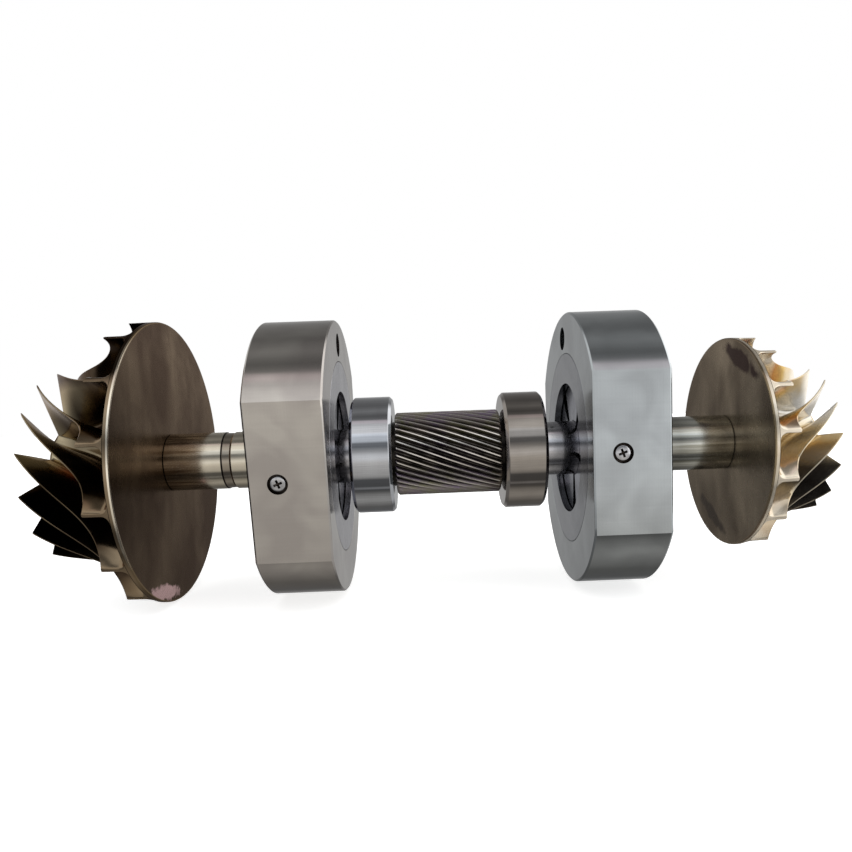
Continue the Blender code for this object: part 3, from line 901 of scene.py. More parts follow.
@dataclass
class CrossScrew:
    """A plated pan head screw with a cross recess, sunk in a housing's front flat."""

    head_radius: float = 4.85 * MM
    head_height: float = 3.4 * MM
    shank_radius: float = 2.5 * MM
    shank_length: float = 12.0 * MM
    dome: float = 0.3 * MM
    cross_reach: float = 2.9 * MM
    cross_width: float = 1.5 * MM
    cross_depth: float = 1.9 * MM
    cross_turns: tuple[float, float] = (math.radians(20.0), math.radians(110.0))

    def build(self, name: str, seat: float, place: Matrix, finish: Material,
              recess_shade: Material) -> Object:
        """Build the screw.

        Args:
            name: The piece's name.
            seat: Distance of the head's underside from the shaft's axis.
            place: Matrix that points +X out of the flat.
            finish: Its material.
            recess_shade: The material that paints shade inside its cross recess.

        Returns:
            The screw as an object.
        """
        top = seat + self.head_height
        profile = [
            (seat - self.shank_length, 0.0, 0.0), (seat - self.shank_length, self.shank_radius, 0.4 * MM),
            (seat, self.shank_radius, 0.0), (seat, self.head_radius, 0.2 * MM),
            (top - self.dome, self.head_radius, 0.35 * MM), (top, 0.62 * self.head_radius, 1.4 * MM),
            (top, 0.0, 0.0),
        ]
        head = as_object(name, turned(profile, SMALL_RING), place, finish)
        cut_away(head, [self.slot_cutter(top, place @ Matrix.Rotation(turn, 4, "X"), recess_shade)
                        for turn in self.cross_turns])
        return head

    def slot_cutter(self, top: float, place: Matrix, finish: Material) -> Object:
        """Return one tapered arm of the cross recess.

        Args:
            top: Distance of the head's top from the shaft's axis.
            place: Matrix of the arm.
            finish: The material of the recess.

        Returns:
            The cutter.
        """
        shape = bmesh.new()
        rows = []
        corners = ((-1.0, -1.0), (1.0, -1.0), (1.0, 1.0), (-1.0, 1.0))
        for along, reach, width in (
            (top + 1.0 * MM, self.cross_reach * 1.15, self.cross_width * 1.15),
            (top - 0.5 * self.cross_depth, self.cross_reach * 0.85, self.cross_width * 0.9),
            (top - self.cross_depth, self.cross_reach * 0.35, self.cross_width * 0.6),
        ):
            rows.append([shape.verts.new((along, reach * across, width / 2.0 * up))
                         for across, up in corners])
        loft(shape, rows, capped=True)
        return as_object("screw_arm", shape, place, finish)


@dataclass
class Bearing:
    """One bearing: the ring housing with its flats, two end plates, five pads and a screw."""

    side: Side
    axis: ShaftAxis
    turn: float
    chamfer: float = 1.2 * MM
    flat_distance: float = 85.3 * MM
    plate_radius: float = 70.3 * MM
    plate_opening: float = 48.2 * MM
    plate_thickness: float = 5.0 * MM
    seat_radius: float = 53.0 * MM
    pin_radius: float = 8.5 * MM
    pin_circle: float = 82.3 * MM
    pin_angle: float = math.radians(94.0)
    screw_offset: float = -6.4 * MM
    recess_radius: float = 6.5 * MM
    recess_depth: float = 4.2 * MM
    thread_radius: float = 2.8 * MM
    thread_depth: float = 12.6 * MM
    steps: int = 300
    pad_count: int = 5
    pad_steps: int = 28
    pad_angle: float = math.radians(90.0)
    pad_span: float = math.radians(58.0)
    pad_bore: float = 20.4 * MM
    pad_back: float = 50.0 * MM
    middle: float = field(init=False)
    width: float = field(init=False)
    radius: float = field(init=False)

    def __post_init__(self) -> None:
        """Take the housing's place and size from the frame."""
        low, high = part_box(f"bearing_housing_{self.side.word}")
        self.middle = (low.x + high.x) / 2.0 - self.axis.middle
        self.width = high.x - low.x
        self.radius = (high.z - low.z) / 2.0

    def outline(self, radius: float, steps: int) -> list[Vector]:
        """Return a ring of the housing, cut by the front and back flats.

        Args:
            radius: The ring's radius before the flats cut it.
            steps: Vertices in the ring, a multiple of 12.

        Returns:
            The ring's points.
        """
        limit = self.flat_distance - (self.radius - radius)
        cut = radius > self.flat_distance
        corner = math.acos(limit / radius) if cut else math.acos(self.flat_distance / self.radius)
        flat_steps = steps // 12
        arc_steps = steps // 2 - flat_steps
        points = []
        for half in (0.0, math.pi):
            for step in range(flat_steps):
                angle = corner * (2.0 * step / flat_steps - 1.0)
                reach = limit / math.cos(angle) if cut else radius
                points.append(around(0.0, reach, half + angle))
            for step in range(arc_steps):
                angle = corner + (math.pi - 2.0 * corner) * step / arc_steps
                points.append(around(0.0, radius, half + angle))
        return points

    def housing(self, finish: Material, recess_shade: Material) -> None:
        """Build the housing with its pin hole and screw recess.

        Args:
            finish: The housing's material.
            recess_shade: The material that paints shade inside the screw recess.
        """
        low, high = self.middle - self.width / 2.0, self.middle + self.width / 2.0
        seat = self.plate_thickness + GAP
        plate_seat = self.plate_radius + GAP
        edge = 0.35 * MM
        profile = [
            (low, self.radius - self.chamfer, edge), (low + self.chamfer, self.radius, edge),
            (high - self.chamfer, self.radius, edge), (high, self.radius - self.chamfer, edge),
            (high, plate_seat, edge), (high - seat, plate_seat, 0.0), (high - seat, self.seat_radius, 0.0),
            (low + seat, self.seat_radius, 0.0), (low + seat, plate_seat, 0.0), (low, plate_seat, edge),
        ]
        place = self.axis.place(self.turn)
        shape = turned(profile, self.steps, self.outline)
        ring = as_object(f"housing_ring_{self.side.word}", shape, place, finish)
        reach = self.width
        hole = [(-reach, 0.0, 0.0), (-reach, self.pin_radius, 0.0),
                (reach, self.pin_radius, 0.0), (reach, 0.0, 0.0)]
        at_pin = Matrix.Translation(around(self.middle, self.pin_circle, self.pin_angle))
        pin_cutter = as_object("pin_cutter", turned(hole, CUTTER_RING), place @ at_pin, finish)
        bottom = self.flat_distance - self.recess_depth
        thread = bottom - self.thread_depth
        # Outside the flat the cutter widens, which breaks the recess's edge
        wide, above = self.recess_radius + 4.1 * MM, self.flat_distance + 4.0 * MM
        recess = [(along, radius, 0.0) for along, radius in (
            (thread, 0.0), (thread, self.thread_radius), (bottom, self.thread_radius),
            (bottom, self.recess_radius), (self.flat_distance - 0.1 * MM, self.recess_radius),
            (above, wide), (above, 0.0))]
        aim = self.axis.front(self.middle + self.screw_offset, self.turn)
        recess_cutter = as_object("recess_cutter", turned(recess, CUTTER_RING), aim, recess_shade)
        cut_away(ring, [pin_cutter, recess_cutter])
        complete(ring, self.side.body, Slot.HOUSING, [f"bearing_housing_{self.side.word}"], 28.0)

    def end_plates(self, finish: Material) -> None:
        """Build the two annular plates, flush with the housing's faces.

        Args:
            finish: Their material.
        """
        for name, direction in (("inner", -self.side.value), ("outer", self.side.value)):
            face = self.middle + direction * self.width / 2.0
            back = face - direction * self.plate_thickness
            profile = [
                (face, self.plate_opening, 0.5 * MM), (face, self.plate_radius, 0.35 * MM),
                (back, self.plate_radius, 0.0), (back, self.plate_opening, 0.3 * MM),
            ]
            node = f"end_plate_{name}_{self.side.word}"
            plate = as_object(f"{node}_ring", turned(profile, LARGE_RING), self.axis.place(self.turn), finish)
            complete(plate, self.side.body, Slot.HOUSING, [node])

    def pads(self, finish: Material, rings: RingOfCopies) -> None:
        """Build one pad and set five of them around the journal.

        Args:
            finish: Their material.
            rings: The tree that copies them.
        """
        half = self.width / 2.0 - self.plate_thickness - 2.0 * GAP
        section = soften([
            (-half, self.pad_bore, 0.6 * MM), (half, self.pad_bore, 0.6 * MM),
            (half, self.pad_back, 1.0 * MM), (-half, self.pad_back, 1.0 * MM)], True)
        shape = bmesh.new()
        rows = []
        for step in range(self.pad_steps + 1):
            angle = self.pad_angle + self.pad_span * (step / self.pad_steps - 0.5)
            rows.append([shape.verts.new(around(self.middle + along, radius, angle))
                         for along, radius in section])
        loft(shape, rows, capped=True)
        ring = as_object(f"pad_ring_{self.side.word}", shape, self.axis.place(self.turn), finish)
        rings.apply(ring, self.pad_count, self.axis, finish, 0.0)
        nodes = [f"bearing_pad_{self.side.word}_{index + 1}" for index in range(self.pad_count)]
        complete(ring, self.side.body, Slot.PAD, nodes)

    def screw(self, finish: Material, recess_shade: Material) -> None:
        """Build the screw in the front flat's recess.

        Args:
            finish: Its material.
            recess_shade: The material that paints shade inside its cross recess.
        """
        seat = self.flat_distance - self.recess_depth + GAP
        aim = self.axis.front(self.middle + self.screw_offset, self.turn)
        screw = CrossScrew().build(f"cross_screw_{self.side.word}", seat, aim, finish, recess_shade)
        complete(screw, self.side.body, Slot.SCREW, [f"flat_screw_{self.side.word}"])


@dataclass
class Collar:
    """One thrust collar, finely turned all over."""

    side: Side
    axis: ShaftAxis
    radius: float = 43.2 * MM
    near: float = 39.9 * MM
    far: float = 69.6 * MM
    chamfer: float = 2.2 * MM
    bore: float = 24.3 * MM
    edge: float = 0.5 * MM

    def build(self, finish: Material) -> None:
        """Build the collar.

        Args:
            finish: Its material.
        """
        shoulder = self.radius - self.chamfer
        profile = [(self.side.value * along, radius, self.edge) for along, radius in (
            (self.near, self.bore), (self.near, shoulder), (self.near + self.chamfer, self.radius),
            (self.far - self.chamfer, self.radius), (self.far, shoulder), (self.far, self.bore))]
        shape = turned(profile, LARGE_RING)
        ring = as_object(f"collar_ring_{self.side.word}", shape, self.axis.place(), finish)
        complete(ring, "rotor", Slot.COLLAR, [f"thrust_collar_{self.side.word}"])


@dataclass
class Impeller:
    """One open impeller, milled from one piece: disc, hub and backswept blades."""

    side: Side
    axis: ShaftAxis
    back: float
    disc_radius: float
    eye_radius: float
    hub_radius: float
    lead: float
    out: float
    nose: float
    lead_angle: float
    wrap: float
    rim: float = 3.5 * MM
    blades: int = 15
    eye_share: float = 0.55
    eye_power: float = 4.0
    outlet_power: float = 1.5
    root_half: float = 1.5 * MM
    tip_half: float = 0.6 * MM
    outlet_tip_half: float = 1.15 * MM
    outlet_fillet: float = 5.0 * MM
    eye_fillet: float = 2.4 * MM
    pocket_radius: float = 16.5 * MM
    pocket_depth: float = 14.0 * MM
    bore: float = 12.3 * MM
    washer_bore: float = 5.3 * MM
    washer_radius: float = 15.5 * MM
    washer_thickness: float = 4.0 * MM
    bolt_radius: float = 5.0 * MM
    bolt_length: float = 24.0 * MM
    head_radius: float = 11.0 * MM
    head_height: float = 8.0 * MM
    hub_share: float = 0.985
    tip_round: float = 0.45 * MM
    stations: int = 46
    floor_steps: int = 4
    fillet_steps: int = 7
    side_steps: int = 8
    cap_steps: int = 8

    def hub(self, share: float) -> tuple[float, float]:
        """Follow the hub's curve.

        Args:
            share: Place on it, from the rim (0) to the nose (1).

        Returns:
            Depth and radius there.
        """
        angle = share * math.pi / 2.0
        depth = self.nose - (self.nose - self.rim) * math.cos(angle)
        return depth, self.disc_radius - (self.disc_radius - self.hub_radius) * math.sin(angle)

    def shroud(self, share: float) -> tuple[float, float]:
        """Follow the blades' outer edge.

        Args:
            share: Place on it, from the outlet (0) to the eye (1).

        Returns:
            Depth and radius there.
        """
        angle = share * math.pi / 2.0
        outlet = self.disc_radius - GAP
        depth = self.lead - (self.lead - self.out) * math.cos(angle)
        return depth, outlet - (outlet - self.eye_radius) * math.sin(angle)

    def blade_angle(self, share: float) -> float:
        """Follow a blade's middle line around the hub.

        Args:
            share: Place on it, from the outlet (0) to the eye (1).

        Returns:
            Its angle.
        """
        at_eye = self.eye_share * (1.0 - share**self.eye_power)
        at_outlet = (1.0 - self.eye_share) * (1.0 - share) ** self.outlet_power
        return self.lead_angle - self.wrap * (at_eye + at_outlet)

    def lean(self, curve: Callable[[float], tuple[float, float]], share: float) -> float:
        """Return how much wider a blade is around the axis than across itself.

        Args:
            curve: The hub's or the shroud's curve.
            share: Place along it.

        Returns:
            The factor, 1 where the blade runs straight along the axis.
        """
        step = 0.02 if share < 0.5 else -0.02
        depth, radius = curve(share)
        next_depth, next_radius = curve(share + step)
        run = math.hypot(next_depth - depth, next_radius - radius)
        slope = radius * (self.blade_angle(share + step) - self.blade_angle(share)) / run
        return math.sqrt(1.0 + slope * slope)

    def half_section(self, share: float, slim: float) -> list[tuple[float, float]]:
        """Draw one side of a pitch at one station, from the passage's middle up to the blade's tip.

        Args:
            share: The station, from the outlet (0) to the eye (1).
            slim: How much of its thickness the blade has here, under 1 at its rounded edges.

        Returns:
            Points as (angle from the blade's middle, share of the blade's height).
        """
        hub_depth, hub_radius = self.hub(share * self.hub_share)
        tip_depth, tip_radius = self.shroud(share)
        height = math.hypot(tip_depth - hub_depth, tip_radius - hub_radius)
        hub_lean, tip_lean = self.lean(self.hub, share), self.lean(self.shroud, share)
        half_pitch = math.pi / self.blades
        root = self.root_half * slim
        room = (half_pitch * hub_radius - root * hub_lean) / hub_lean
        # The fillet leaves some of the passage's floor and much of the blade's side
        fillet = min(blend_values(self.outlet_fillet, self.eye_fillet, share), 0.92 * room, 0.6 * height)
        foot = (root + fillet) * hub_lean / hub_radius
        points = []
        for step in range(self.floor_steps):
            points.append((blend_values(half_pitch, foot, step / self.floor_steps), 0.0))
        risen = []
        for step in range(self.fillet_steps + 1):
            bend = step / self.fillet_steps * math.pi / 2.0
            risen.append((root + fillet * (1.0 - math.sin(bend)), fillet * (1.0 - math.cos(bend))))
        tip = blend_values(self.outlet_tip_half, self.tip_half, min(1.0, share / 0.35)) * slim
        for step in range(1, self.side_steps + 1):
            up = blend_values(fillet, height - self.tip_round, step / self.side_steps)
            risen.append((blend_values(root, tip, (up - fillet) / (height - fillet)), up))
        risen.append((0.45 * tip, height))
        for across, up in risen:
            rise = up / height
            radius = blend_values(hub_radius, tip_radius, rise)
            points.append((across * blend_values(hub_lean, tip_lean, rise) / radius, rise))
        return points

    def station_list(self) -> list[tuple[float, float]]:
        """Place the stations, closer together at the blade's rounded edges.

        Returns:
            Each station's share and how much of its thickness the blade has there.
        """
        ends = ((0.0, 0.45), (0.004, 0.8), (0.012, 1.0))
        first = ends[-1][0]
        inner = [(blend_values(first, 1.0 - first, step / self.stations), 1.0)
                 for step in range(1, self.stations)]
        return list(ends) + inner + [(1.0 - share, slim) for share, slim in reversed(ends)]

    def pitch_shape(self) -> BMesh:
        """Build one pitch: a blade with the hub, rim, back and nose that belong to it.

        Returns:
            The mesh in shaft coordinates, open only at its two seams.
        """
        shape = bmesh.new()
        along_layer = shape.verts.layers.float.new("along")
        height_layer = shape.verts.layers.float.new("height")

        def add(depth: float, radius: float, angle: float, along: float, height: float) -> BMVert:
            """Add one vertex with its two attributes.

            Args:
                depth: How far it lies from the disc's back.
                radius: Its distance from the shaft's axis.
                angle: Its angle.
                along: The attribute that runs from the outlet (0) to the eye (1).
                height: The attribute that runs from the hub (0) to the blade's edge (1).

            Returns:
                The vertex.
            """
            vert = shape.verts.new(around(self.side.value * (self.back + depth), radius, angle))
            vert[along_layer] = along
            vert[height_layer] = height
            return vert

        rows = []
        for share, slim in self.station_list():
            hub_depth, hub_radius = self.hub(share * self.hub_share)
            tip_depth, tip_radius = self.shroud(share)
            middle = self.blade_angle(share)
            half = self.half_section(share, slim)
            row = []
            for sign, points in ((-1.0, half), (1.0, list(reversed(half)))):
                for angle, rise in points:
                    row.append(add(blend_values(hub_depth, tip_depth, rise),
                                   blend_values(hub_radius, tip_radius, rise),
                                   middle + sign * angle, share, rise))
            rows.append(row)
        loft(shape, rows, closed=False)
        outlet, eye = (self.close_blade(shape, row, add, share)
                       for row, share in ((rows[0], 0.0), (rows[-1], 1.0)))
        around_back = [eye]
        for depth, radius in self.hidden_profile():
            around_back.append([add(depth, radius, math.atan2(vert.co.z, -vert.co.y), 0.0, 0.0)
                                for vert in around_back[-1]])
        loft(shape, [*around_back, outlet], closed=False)
        return shape

    def close_blade(self, shape: BMesh, row: list, add: Callable, share: float) -> list:
        """Close a blade's end and return the row that runs around the hub below it.

        Args:
            shape: The mesh.
            row: The pitch's vertices at this end.
            add: Adds a vertex from its depth, radius, angle and two attributes.
            share: The station of this end.

        Returns:
            The vertices from seam to seam, evenly spread across the blade's foot.
        """
        foot, half = self.floor_steps, len(row) // 2
        levels = []
        for index in range(foot, half - 1):
            left, right = row[index], row[len(row) - 1 - index]
            ends = [math.atan2(vert.co.z, -vert.co.y) for vert in (left, right)]
            depth = abs(left.co.x) - self.back
            radius = math.hypot(left.co.y, left.co.z)
            rise = (index - foot) / (half - foot)
            middles = [add(depth, radius, blend_values(*ends, step / self.cap_steps), share, rise)
                       for step in range(1, self.cap_steps)]
            levels.append([left, *middles, right])
        loft(shape, levels, closed=False)
        shape.faces.new(levels[-1] + [row[half], row[half - 1]])
        return row[:foot] + levels[0] + row[len(row) - foot:]

    def hidden_profile(self) -> list[tuple[float, float]]:
        """List what the photograph hides, from the eye over the nose, pocket, bore and back to the rim.

        Returns:
            Depth and radius of each point.
        """
        corner = 0.6 * MM
        edge = 0.9 * MM
        floor = self.nose - self.pocket_depth
        return [
            (self.nose - corner, self.hub_radius), (self.nose - 0.18 * MM, self.hub_radius - 0.18 * MM),
            (self.nose, self.hub_radius - corner), (self.nose, self.pocket_radius + corner),
            (self.nose - corner, self.pocket_radius), (floor, self.pocket_radius), (floor, self.bore),
            (0.0, self.bore), (0.0, self.disc_radius - edge), (0.25 * MM, self.disc_radius - 0.25 * MM),
            (edge, self.disc_radius), (self.rim - 0.3 * MM, self.disc_radius),
        ]

    def build(self, finish: Material, rings: RingOfCopies) -> None:
        """Build the impeller.

        Args:
            finish: Its material.
            rings: The tree that sets its blades around the hub.
        """
        pitch = as_object(f"impeller_blades_{self.side.word}", self.pitch_shape(), self.axis.place(), finish)
        rings.apply(pitch, self.blades, self.axis, finish)
        complete(pitch, "rotor", Slot.IMPELLER, [f"impeller_{self.side.word}"], 40.0)

    def fixing(self, finish: Material) -> None:
        """Build the washer and the hexagon head bolt in the nose pocket.

        Args:
            finish: Their material.
        """
        floor = self.back + self.nose - self.pocket_depth + GAP
        top = floor + self.washer_thickness
        seat = top + GAP
        head, end = seat + self.head_height, floor - self.bolt_length
        washer = [(floor, self.washer_bore, 0.3 * MM), (floor, self.washer_radius, 0.3 * MM),
                  (top, self.washer_radius, 0.8 * MM), (top, self.washer_bore, 0.3 * MM)]
        bolt = [(end, 0.0, 0.0), (end, self.bolt_radius, 0.6 * MM), (seat, self.bolt_radius, 0.0),
                (seat, self.head_radius, 0.2 * MM), (head, self.head_radius, 0.9 * MM), (head, 0.0, 0.0)]
        for name, node, profile, outline in (
            ("washer_ring", "impeller_washer", washer, None),
            ("hexagon_bolt", "impeller_bolt", bolt, self.hexagon),
        ):
            points = [(self.side.value * along, radius, cut) for along, radius, cut in profile]
            shape = turned(points, SMALL_RING, outline)
            piece = as_object(f"{name}_{self.side.word}", shape, self.axis.place(), finish)
            complete(piece, "rotor", Slot.BOLT, [f"{node}_{self.side.word}"])

    def hexagon(self, radius: float, steps: int) -> list[Vector]:
        """Draw a ring of the bolt: a hexagon at the head and round at the shank.

        Args:
            radius: The ring's radius, at the hexagon's corners.
            steps: Vertices in the ring.

        Returns:
            The ring's points.
        """
        points = []
        sixth = math.pi / 3.0
        flat = self.head_radius * math.cos(sixth / 2.0)
        for angle in even_angles(steps):
            within = (angle + sixth / 2.0) % sixth - sixth / 2.0
            points.append(around(0.0, min(radius, flat / math.cos(within)), angle))
        return points


@dataclass
class PinionShaft:
    """The polished shaft and the helical pinion teeth cut on its middle.

    The photograph's tooth lines give the helix, and their spacing gives the number of teeth.
    """

    axis: ShaftAxis
    left: Impeller
    right: Impeller
    teeth: int = 38
    first_tooth: float = -0.2
    half_length: float = 38.4 * MM
    tip: float = 30.9 * MM
    root: float = 28.3 * MM
    helix: float = math.radians(21.3)
    slices: int = 40
    journal: float = 20.1 * MM
    left_shaft: float = 21.3 * MM
    right_shaft: float = 20.4 * MM
    seat: float = 24.0 * MM
    seat_end: float = 70.6 * MM
    groove: tuple[float, float] = (-164.3 * MM, -157.1 * MM)
    groove_depth: float = 0.7 * MM
    stub: float = 12.0 * MM
    stub_bore: float = 5.3 * MM
    stub_bore_depth: float = 26.0 * MM
    left_step: float = -140.2 * MM
    right_step: float = 142.9 * MM

    def end(self, impeller: Impeller, radius: float) -> list[tuple[float, float, float]]:
        """Return an end's profile from the impeller's back out to the axis.

        Args:
            impeller: The impeller on this end.
            radius: The shaft's radius there.

        Returns:
            The profile's points.
        """
        back = impeller.back - GAP
        tip = impeller.back + impeller.nose - impeller.pocket_depth - GAP
        floor = tip - self.stub_bore_depth
        points = [(back, radius, 0.4 * MM), (back, self.stub, 0.0), (tip, self.stub, 0.4 * MM),
                  (tip, self.stub_bore, 0.2 * MM), (floor, self.stub_bore, 0.0), (floor, 0.0, 0.0)]
        return [(impeller.side.value * along, reach, cut) for along, reach, cut in points]

    def shaft(self, finish: Material) -> None:
        """Build the shaft with its groove, journals and collar seats.

        Args:
            finish: Its material.
        """
        start, stop = self.groove
        low = self.left_shaft - self.groove_depth
        step = 1.0 * MM
        profile = list(reversed(self.end(self.left, self.left_shaft))) + [
            (start, self.left_shaft, 0.3 * MM), (start + step, low, 0.5 * MM), (stop - step, low, 0.5 * MM),
            (stop, self.left_shaft, 0.3 * MM), (self.left_step, self.left_shaft, 0.3 * MM),
            (self.left_step + step, self.journal, 0.3 * MM), (-self.seat_end, self.journal, 0.6 * MM),
            (-self.seat_end, self.seat, 0.5 * MM), (self.seat_end, self.seat, 0.5 * MM),
            (self.seat_end, self.journal, 0.6 * MM), (self.right_step, self.journal, 0.3 * MM),
            (self.right_step + step, self.right_shaft, 0.3 * MM),
        ] + self.end(self.right, self.right_shaft)
        shaft = as_object("turned_shaft", turned(profile, LARGE_RING), self.axis.place(), finish)
        complete(shaft, "rotor", Slot.SHAFT, ["pinion_shaft"])

    def tooth_section(self) -> list[tuple[float, float]]:
        """Return (share of a pitch, share of the height) over one tooth, from root to root."""
        rise = [(0.0, 0.0), (0.07, 0.0), (0.12, 0.06), (0.19, 0.28), (0.28, 0.6), (0.37, 0.9), (0.415, 1.0)]
        return rise + [(1.0 - share, height) for share, height in reversed(rise)]

    def pinion(self, finish: Material, rings: RingOfCopies) -> None:
        """Build one helical tooth and set it around the shaft.

        Args:
            finish: The teeth's material.
            rings: The tree that copies the tooth.
        """
        shape = bmesh.new()
        layer = shape.verts.layers.float.new("height")
        section = self.tooth_section()
        pitch = math.tau / self.teeth
        # Each tooth's end is chamfered, and the ring has an inner wall hidden in the collar seat
        ends = ((0.0, 0.35), (0.008, 0.72), (0.02, 1.0))
        hidden = self.seat - 1.0 * MM
        places = list(ends) + [(step / self.slices, 1.0) for step in range(1, self.slices)]
        places += [(1.0 - share, limit) for share, limit in reversed(ends)]
        outer, inner = [], []
        for share, limit in places:
            x = self.half_length * (2.0 * share - 1.0)
            lead = -math.tan(self.helix) / self.tip * x
            rows = ([], [])
            for place, height in section:
                angle = lead + (place + self.first_tooth) * pitch
                radius = self.root + (self.tip - self.root) * min(height, limit)
                vert = shape.verts.new(around(x, radius, angle))
                vert[layer] = height
                rows[0].append(vert)
                rows[1].append(shape.verts.new(around(x, hidden, angle)))
            outer.append(rows[0])
            inner.append(rows[1])
        for rows in (outer, inner, (outer[0], inner[0]), (outer[-1], inner[-1])):
            loft(shape, rows, closed=False)
        tooth = as_object("pinion_teeth", shape, self.axis.place(), finish)
        rings.apply(tooth, self.teeth, self.axis, finish)
        complete(tooth, "rotor", Slot.SHAFT, ["pinion_shaft"], 50.0)


class Tint(Enum):
    """Tints of the soft panels, as factors of red, green and blue."""

    COOL = (0.95, 1.0, 1.06)
    NONE = (1.0, 1.0, 1.0)
    WARM = (1.03, 1.0, 0.95)
    ROSE = (1.06, 0.97, 1.0)


@dataclass
class Studio:
    """The plain pale floor, the soft panels and the camera at the photograph's angle.

    Each panel is (degrees above the horizon, brightness, tint) and fades into the next one. Beyond the
    rotor's two ends side_high and side_low give the brightness at the left and the right.
    """

    floor_height: float = -104.0 * MM
    floor_reach: float = 12.0
    floor_fade: tuple[float, float] = (0.2, 1.6)
    floor_glow: tuple[float, float] = (0.70, 1.0)
    camera_place: tuple[float, float, float] = (-127.89 * MM, -588.73 * MM, 28.06 * MM)
    camera_turn: tuple[float, float, float] = (85.449, 2.1, -0.996)
    lens: float = 28.2
    shift: tuple[float, float] = (-0.017445, 0.049517)
    lamp_power: float = 6.0
    lamp_offset: tuple[float, float, float] = (0.0, -0.5, 1.5)
    strength: float = 1.2
    side_high: tuple[float, float] = (0.75, 1.4)
    side_low: tuple[float, float] = (0.2, 0.5)
    side_edge: tuple[float, float] = (0.40, 0.62)
    side_change: tuple[float, float] = (-0.1, 0.1)
    low_edge: tuple[float, float] = (-0.28, -0.04)
    panels: tuple[tuple[float, float, Tint], ...] = (
        (-90.0, 0.34, Tint.WARM), (-80.0, 0.24, Tint.WARM), (-74.0, 0.12, Tint.WARM),
        (-69.0, 0.08, Tint.NONE), (-65.0, 0.26, Tint.NONE), (-61.0, 0.09, Tint.NONE),
        (-46.0, 0.10, Tint.NONE), (-41.0, 0.34, Tint.WARM), (-36.0, 0.46, Tint.WARM),
        (-20.0, 0.56, Tint.WARM), (-12.0, 0.68, Tint.WARM), (-3.0, 0.88, Tint.NONE),
        (3.0, 0.76, Tint.NONE), (10.0, 0.44, Tint.NONE), (19.0, 0.20, Tint.COOL),
        (26.0, 0.24, Tint.COOL), (30.0, 0.76, Tint.COOL), (38.0, 0.80, Tint.COOL),
        (43.0, 1.14, Tint.COOL), (48.0, 0.98, Tint.NONE), (58.0, 0.90, Tint.NONE),
        (65.0, 0.68, Tint.NONE), (69.0, 0.72, Tint.ROSE), (73.0, 0.58, Tint.ROSE),
        (76.0, 0.20, Tint.NONE), (84.0, 0.13, Tint.NONE), (90.0, 0.18, Tint.NONE),
    )
    panels_behind: tuple[tuple[float, float, Tint], ...] = (
        (-180.0, 0.42, Tint.NONE), (-165.0, 0.38, Tint.NONE), (-155.0, 0.28, Tint.NONE),
        (-142.0, 0.12, Tint.NONE), (-120.0, 0.14, Tint.WARM), (-107.0, 0.26, Tint.WARM),
        (-97.0, 0.36, Tint.WARM), (-90.0, 0.34, Tint.WARM), (90.0, 0.18, Tint.NONE),
        (98.0, 0.25, Tint.NONE), (115.0, 0.15, Tint.NONE), (136.0, 0.20, Tint.NONE),
        (150.0, 0.24, Tint.NONE), (162.0, 0.38, Tint.NONE), (180.0, 0.42, Tint.NONE),
    )
    middle: Vector = field(default_factory=lambda: Vector((-0.115, -0.085, 0.0)))

    def camera(self) -> None:
        """Make the scene's camera."""
        data = bpy.data.cameras.new("camera")
        data.sensor_width = 36.0
        data.lens = self.lens
        data.shift_x, data.shift_y = self.shift
        data.clip_start = 0.01
        data.clip_end = 50.0
        camera = bpy.data.objects.new("camera", data)
        camera.location = self.camera_place
        camera.rotation_euler = Euler([math.radians(angle) for angle in self.camera_turn])
        bpy.context.scene.collection.objects.link(camera)
        bpy.context.scene.camera = camera

    def floor(self) -> None:
        """Make the pale floor, which the metal doesn't mirror and which fades to white."""
        # Matt painted board: no gloss at all, and a soft contact shadow
        material = bpy.data.materials.new("pale_floor")
        material.use_nodes = True
        tree = material.node_tree
        shader = tree.nodes["Principled BSDF"]
        place = add_node(tree, "ShaderNodeTexCoord").outputs["Object"]
        glow = Step.RANGE.add(tree, Step.LENGTH.add(tree, place), *self.floor_fade, *self.floor_glow)
        shader.inputs["Base Color"].default_value = linear("#F2F2F0")
        shader.inputs["Roughness"].default_value = 0.9
        shader.inputs["Emission Color"].default_value = linear("#FFFFFF")
        tree.links.new(glow, shader.inputs["Emission Strength"])
        mesh = bpy.data.meshes.new("floor")
        reach = self.floor_reach
        corners = [(-reach, -reach), (reach, -reach), (reach, reach), (-reach, reach)]
        mesh.from_pydata([(x, y, self.floor_height) for x, y in corners], [], [(0, 1, 2, 3)])
        mesh.materials.append(material)
        floor = bpy.data.objects.new("floor", mesh)
        floor.visible_glossy = False
        floor.visible_shadow = False
        bpy.context.scene.collection.objects.link(floor)

    def lamp(self) -> None:
        """Hang the wide overhead panel that softens the floor's shadow."""
        light = bpy.data.lights.new("overhead_panel", "AREA")
        light.shape = "RECTANGLE"
        light.size, light.size_y = 2.4, 1.6
        light.energy = self.lamp_power
        lamp = bpy.data.objects.new("overhead_panel", light)
        lamp.location = self.middle + Vector(self.lamp_offset)
        lamp.rotation_euler = Vector(self.lamp_offset).to_track_quat("Z", "Y").to_euler()
        lamp.visible_camera = False
        lamp.visible_glossy = False
        bpy.context.scene.collection.objects.link(lamp)

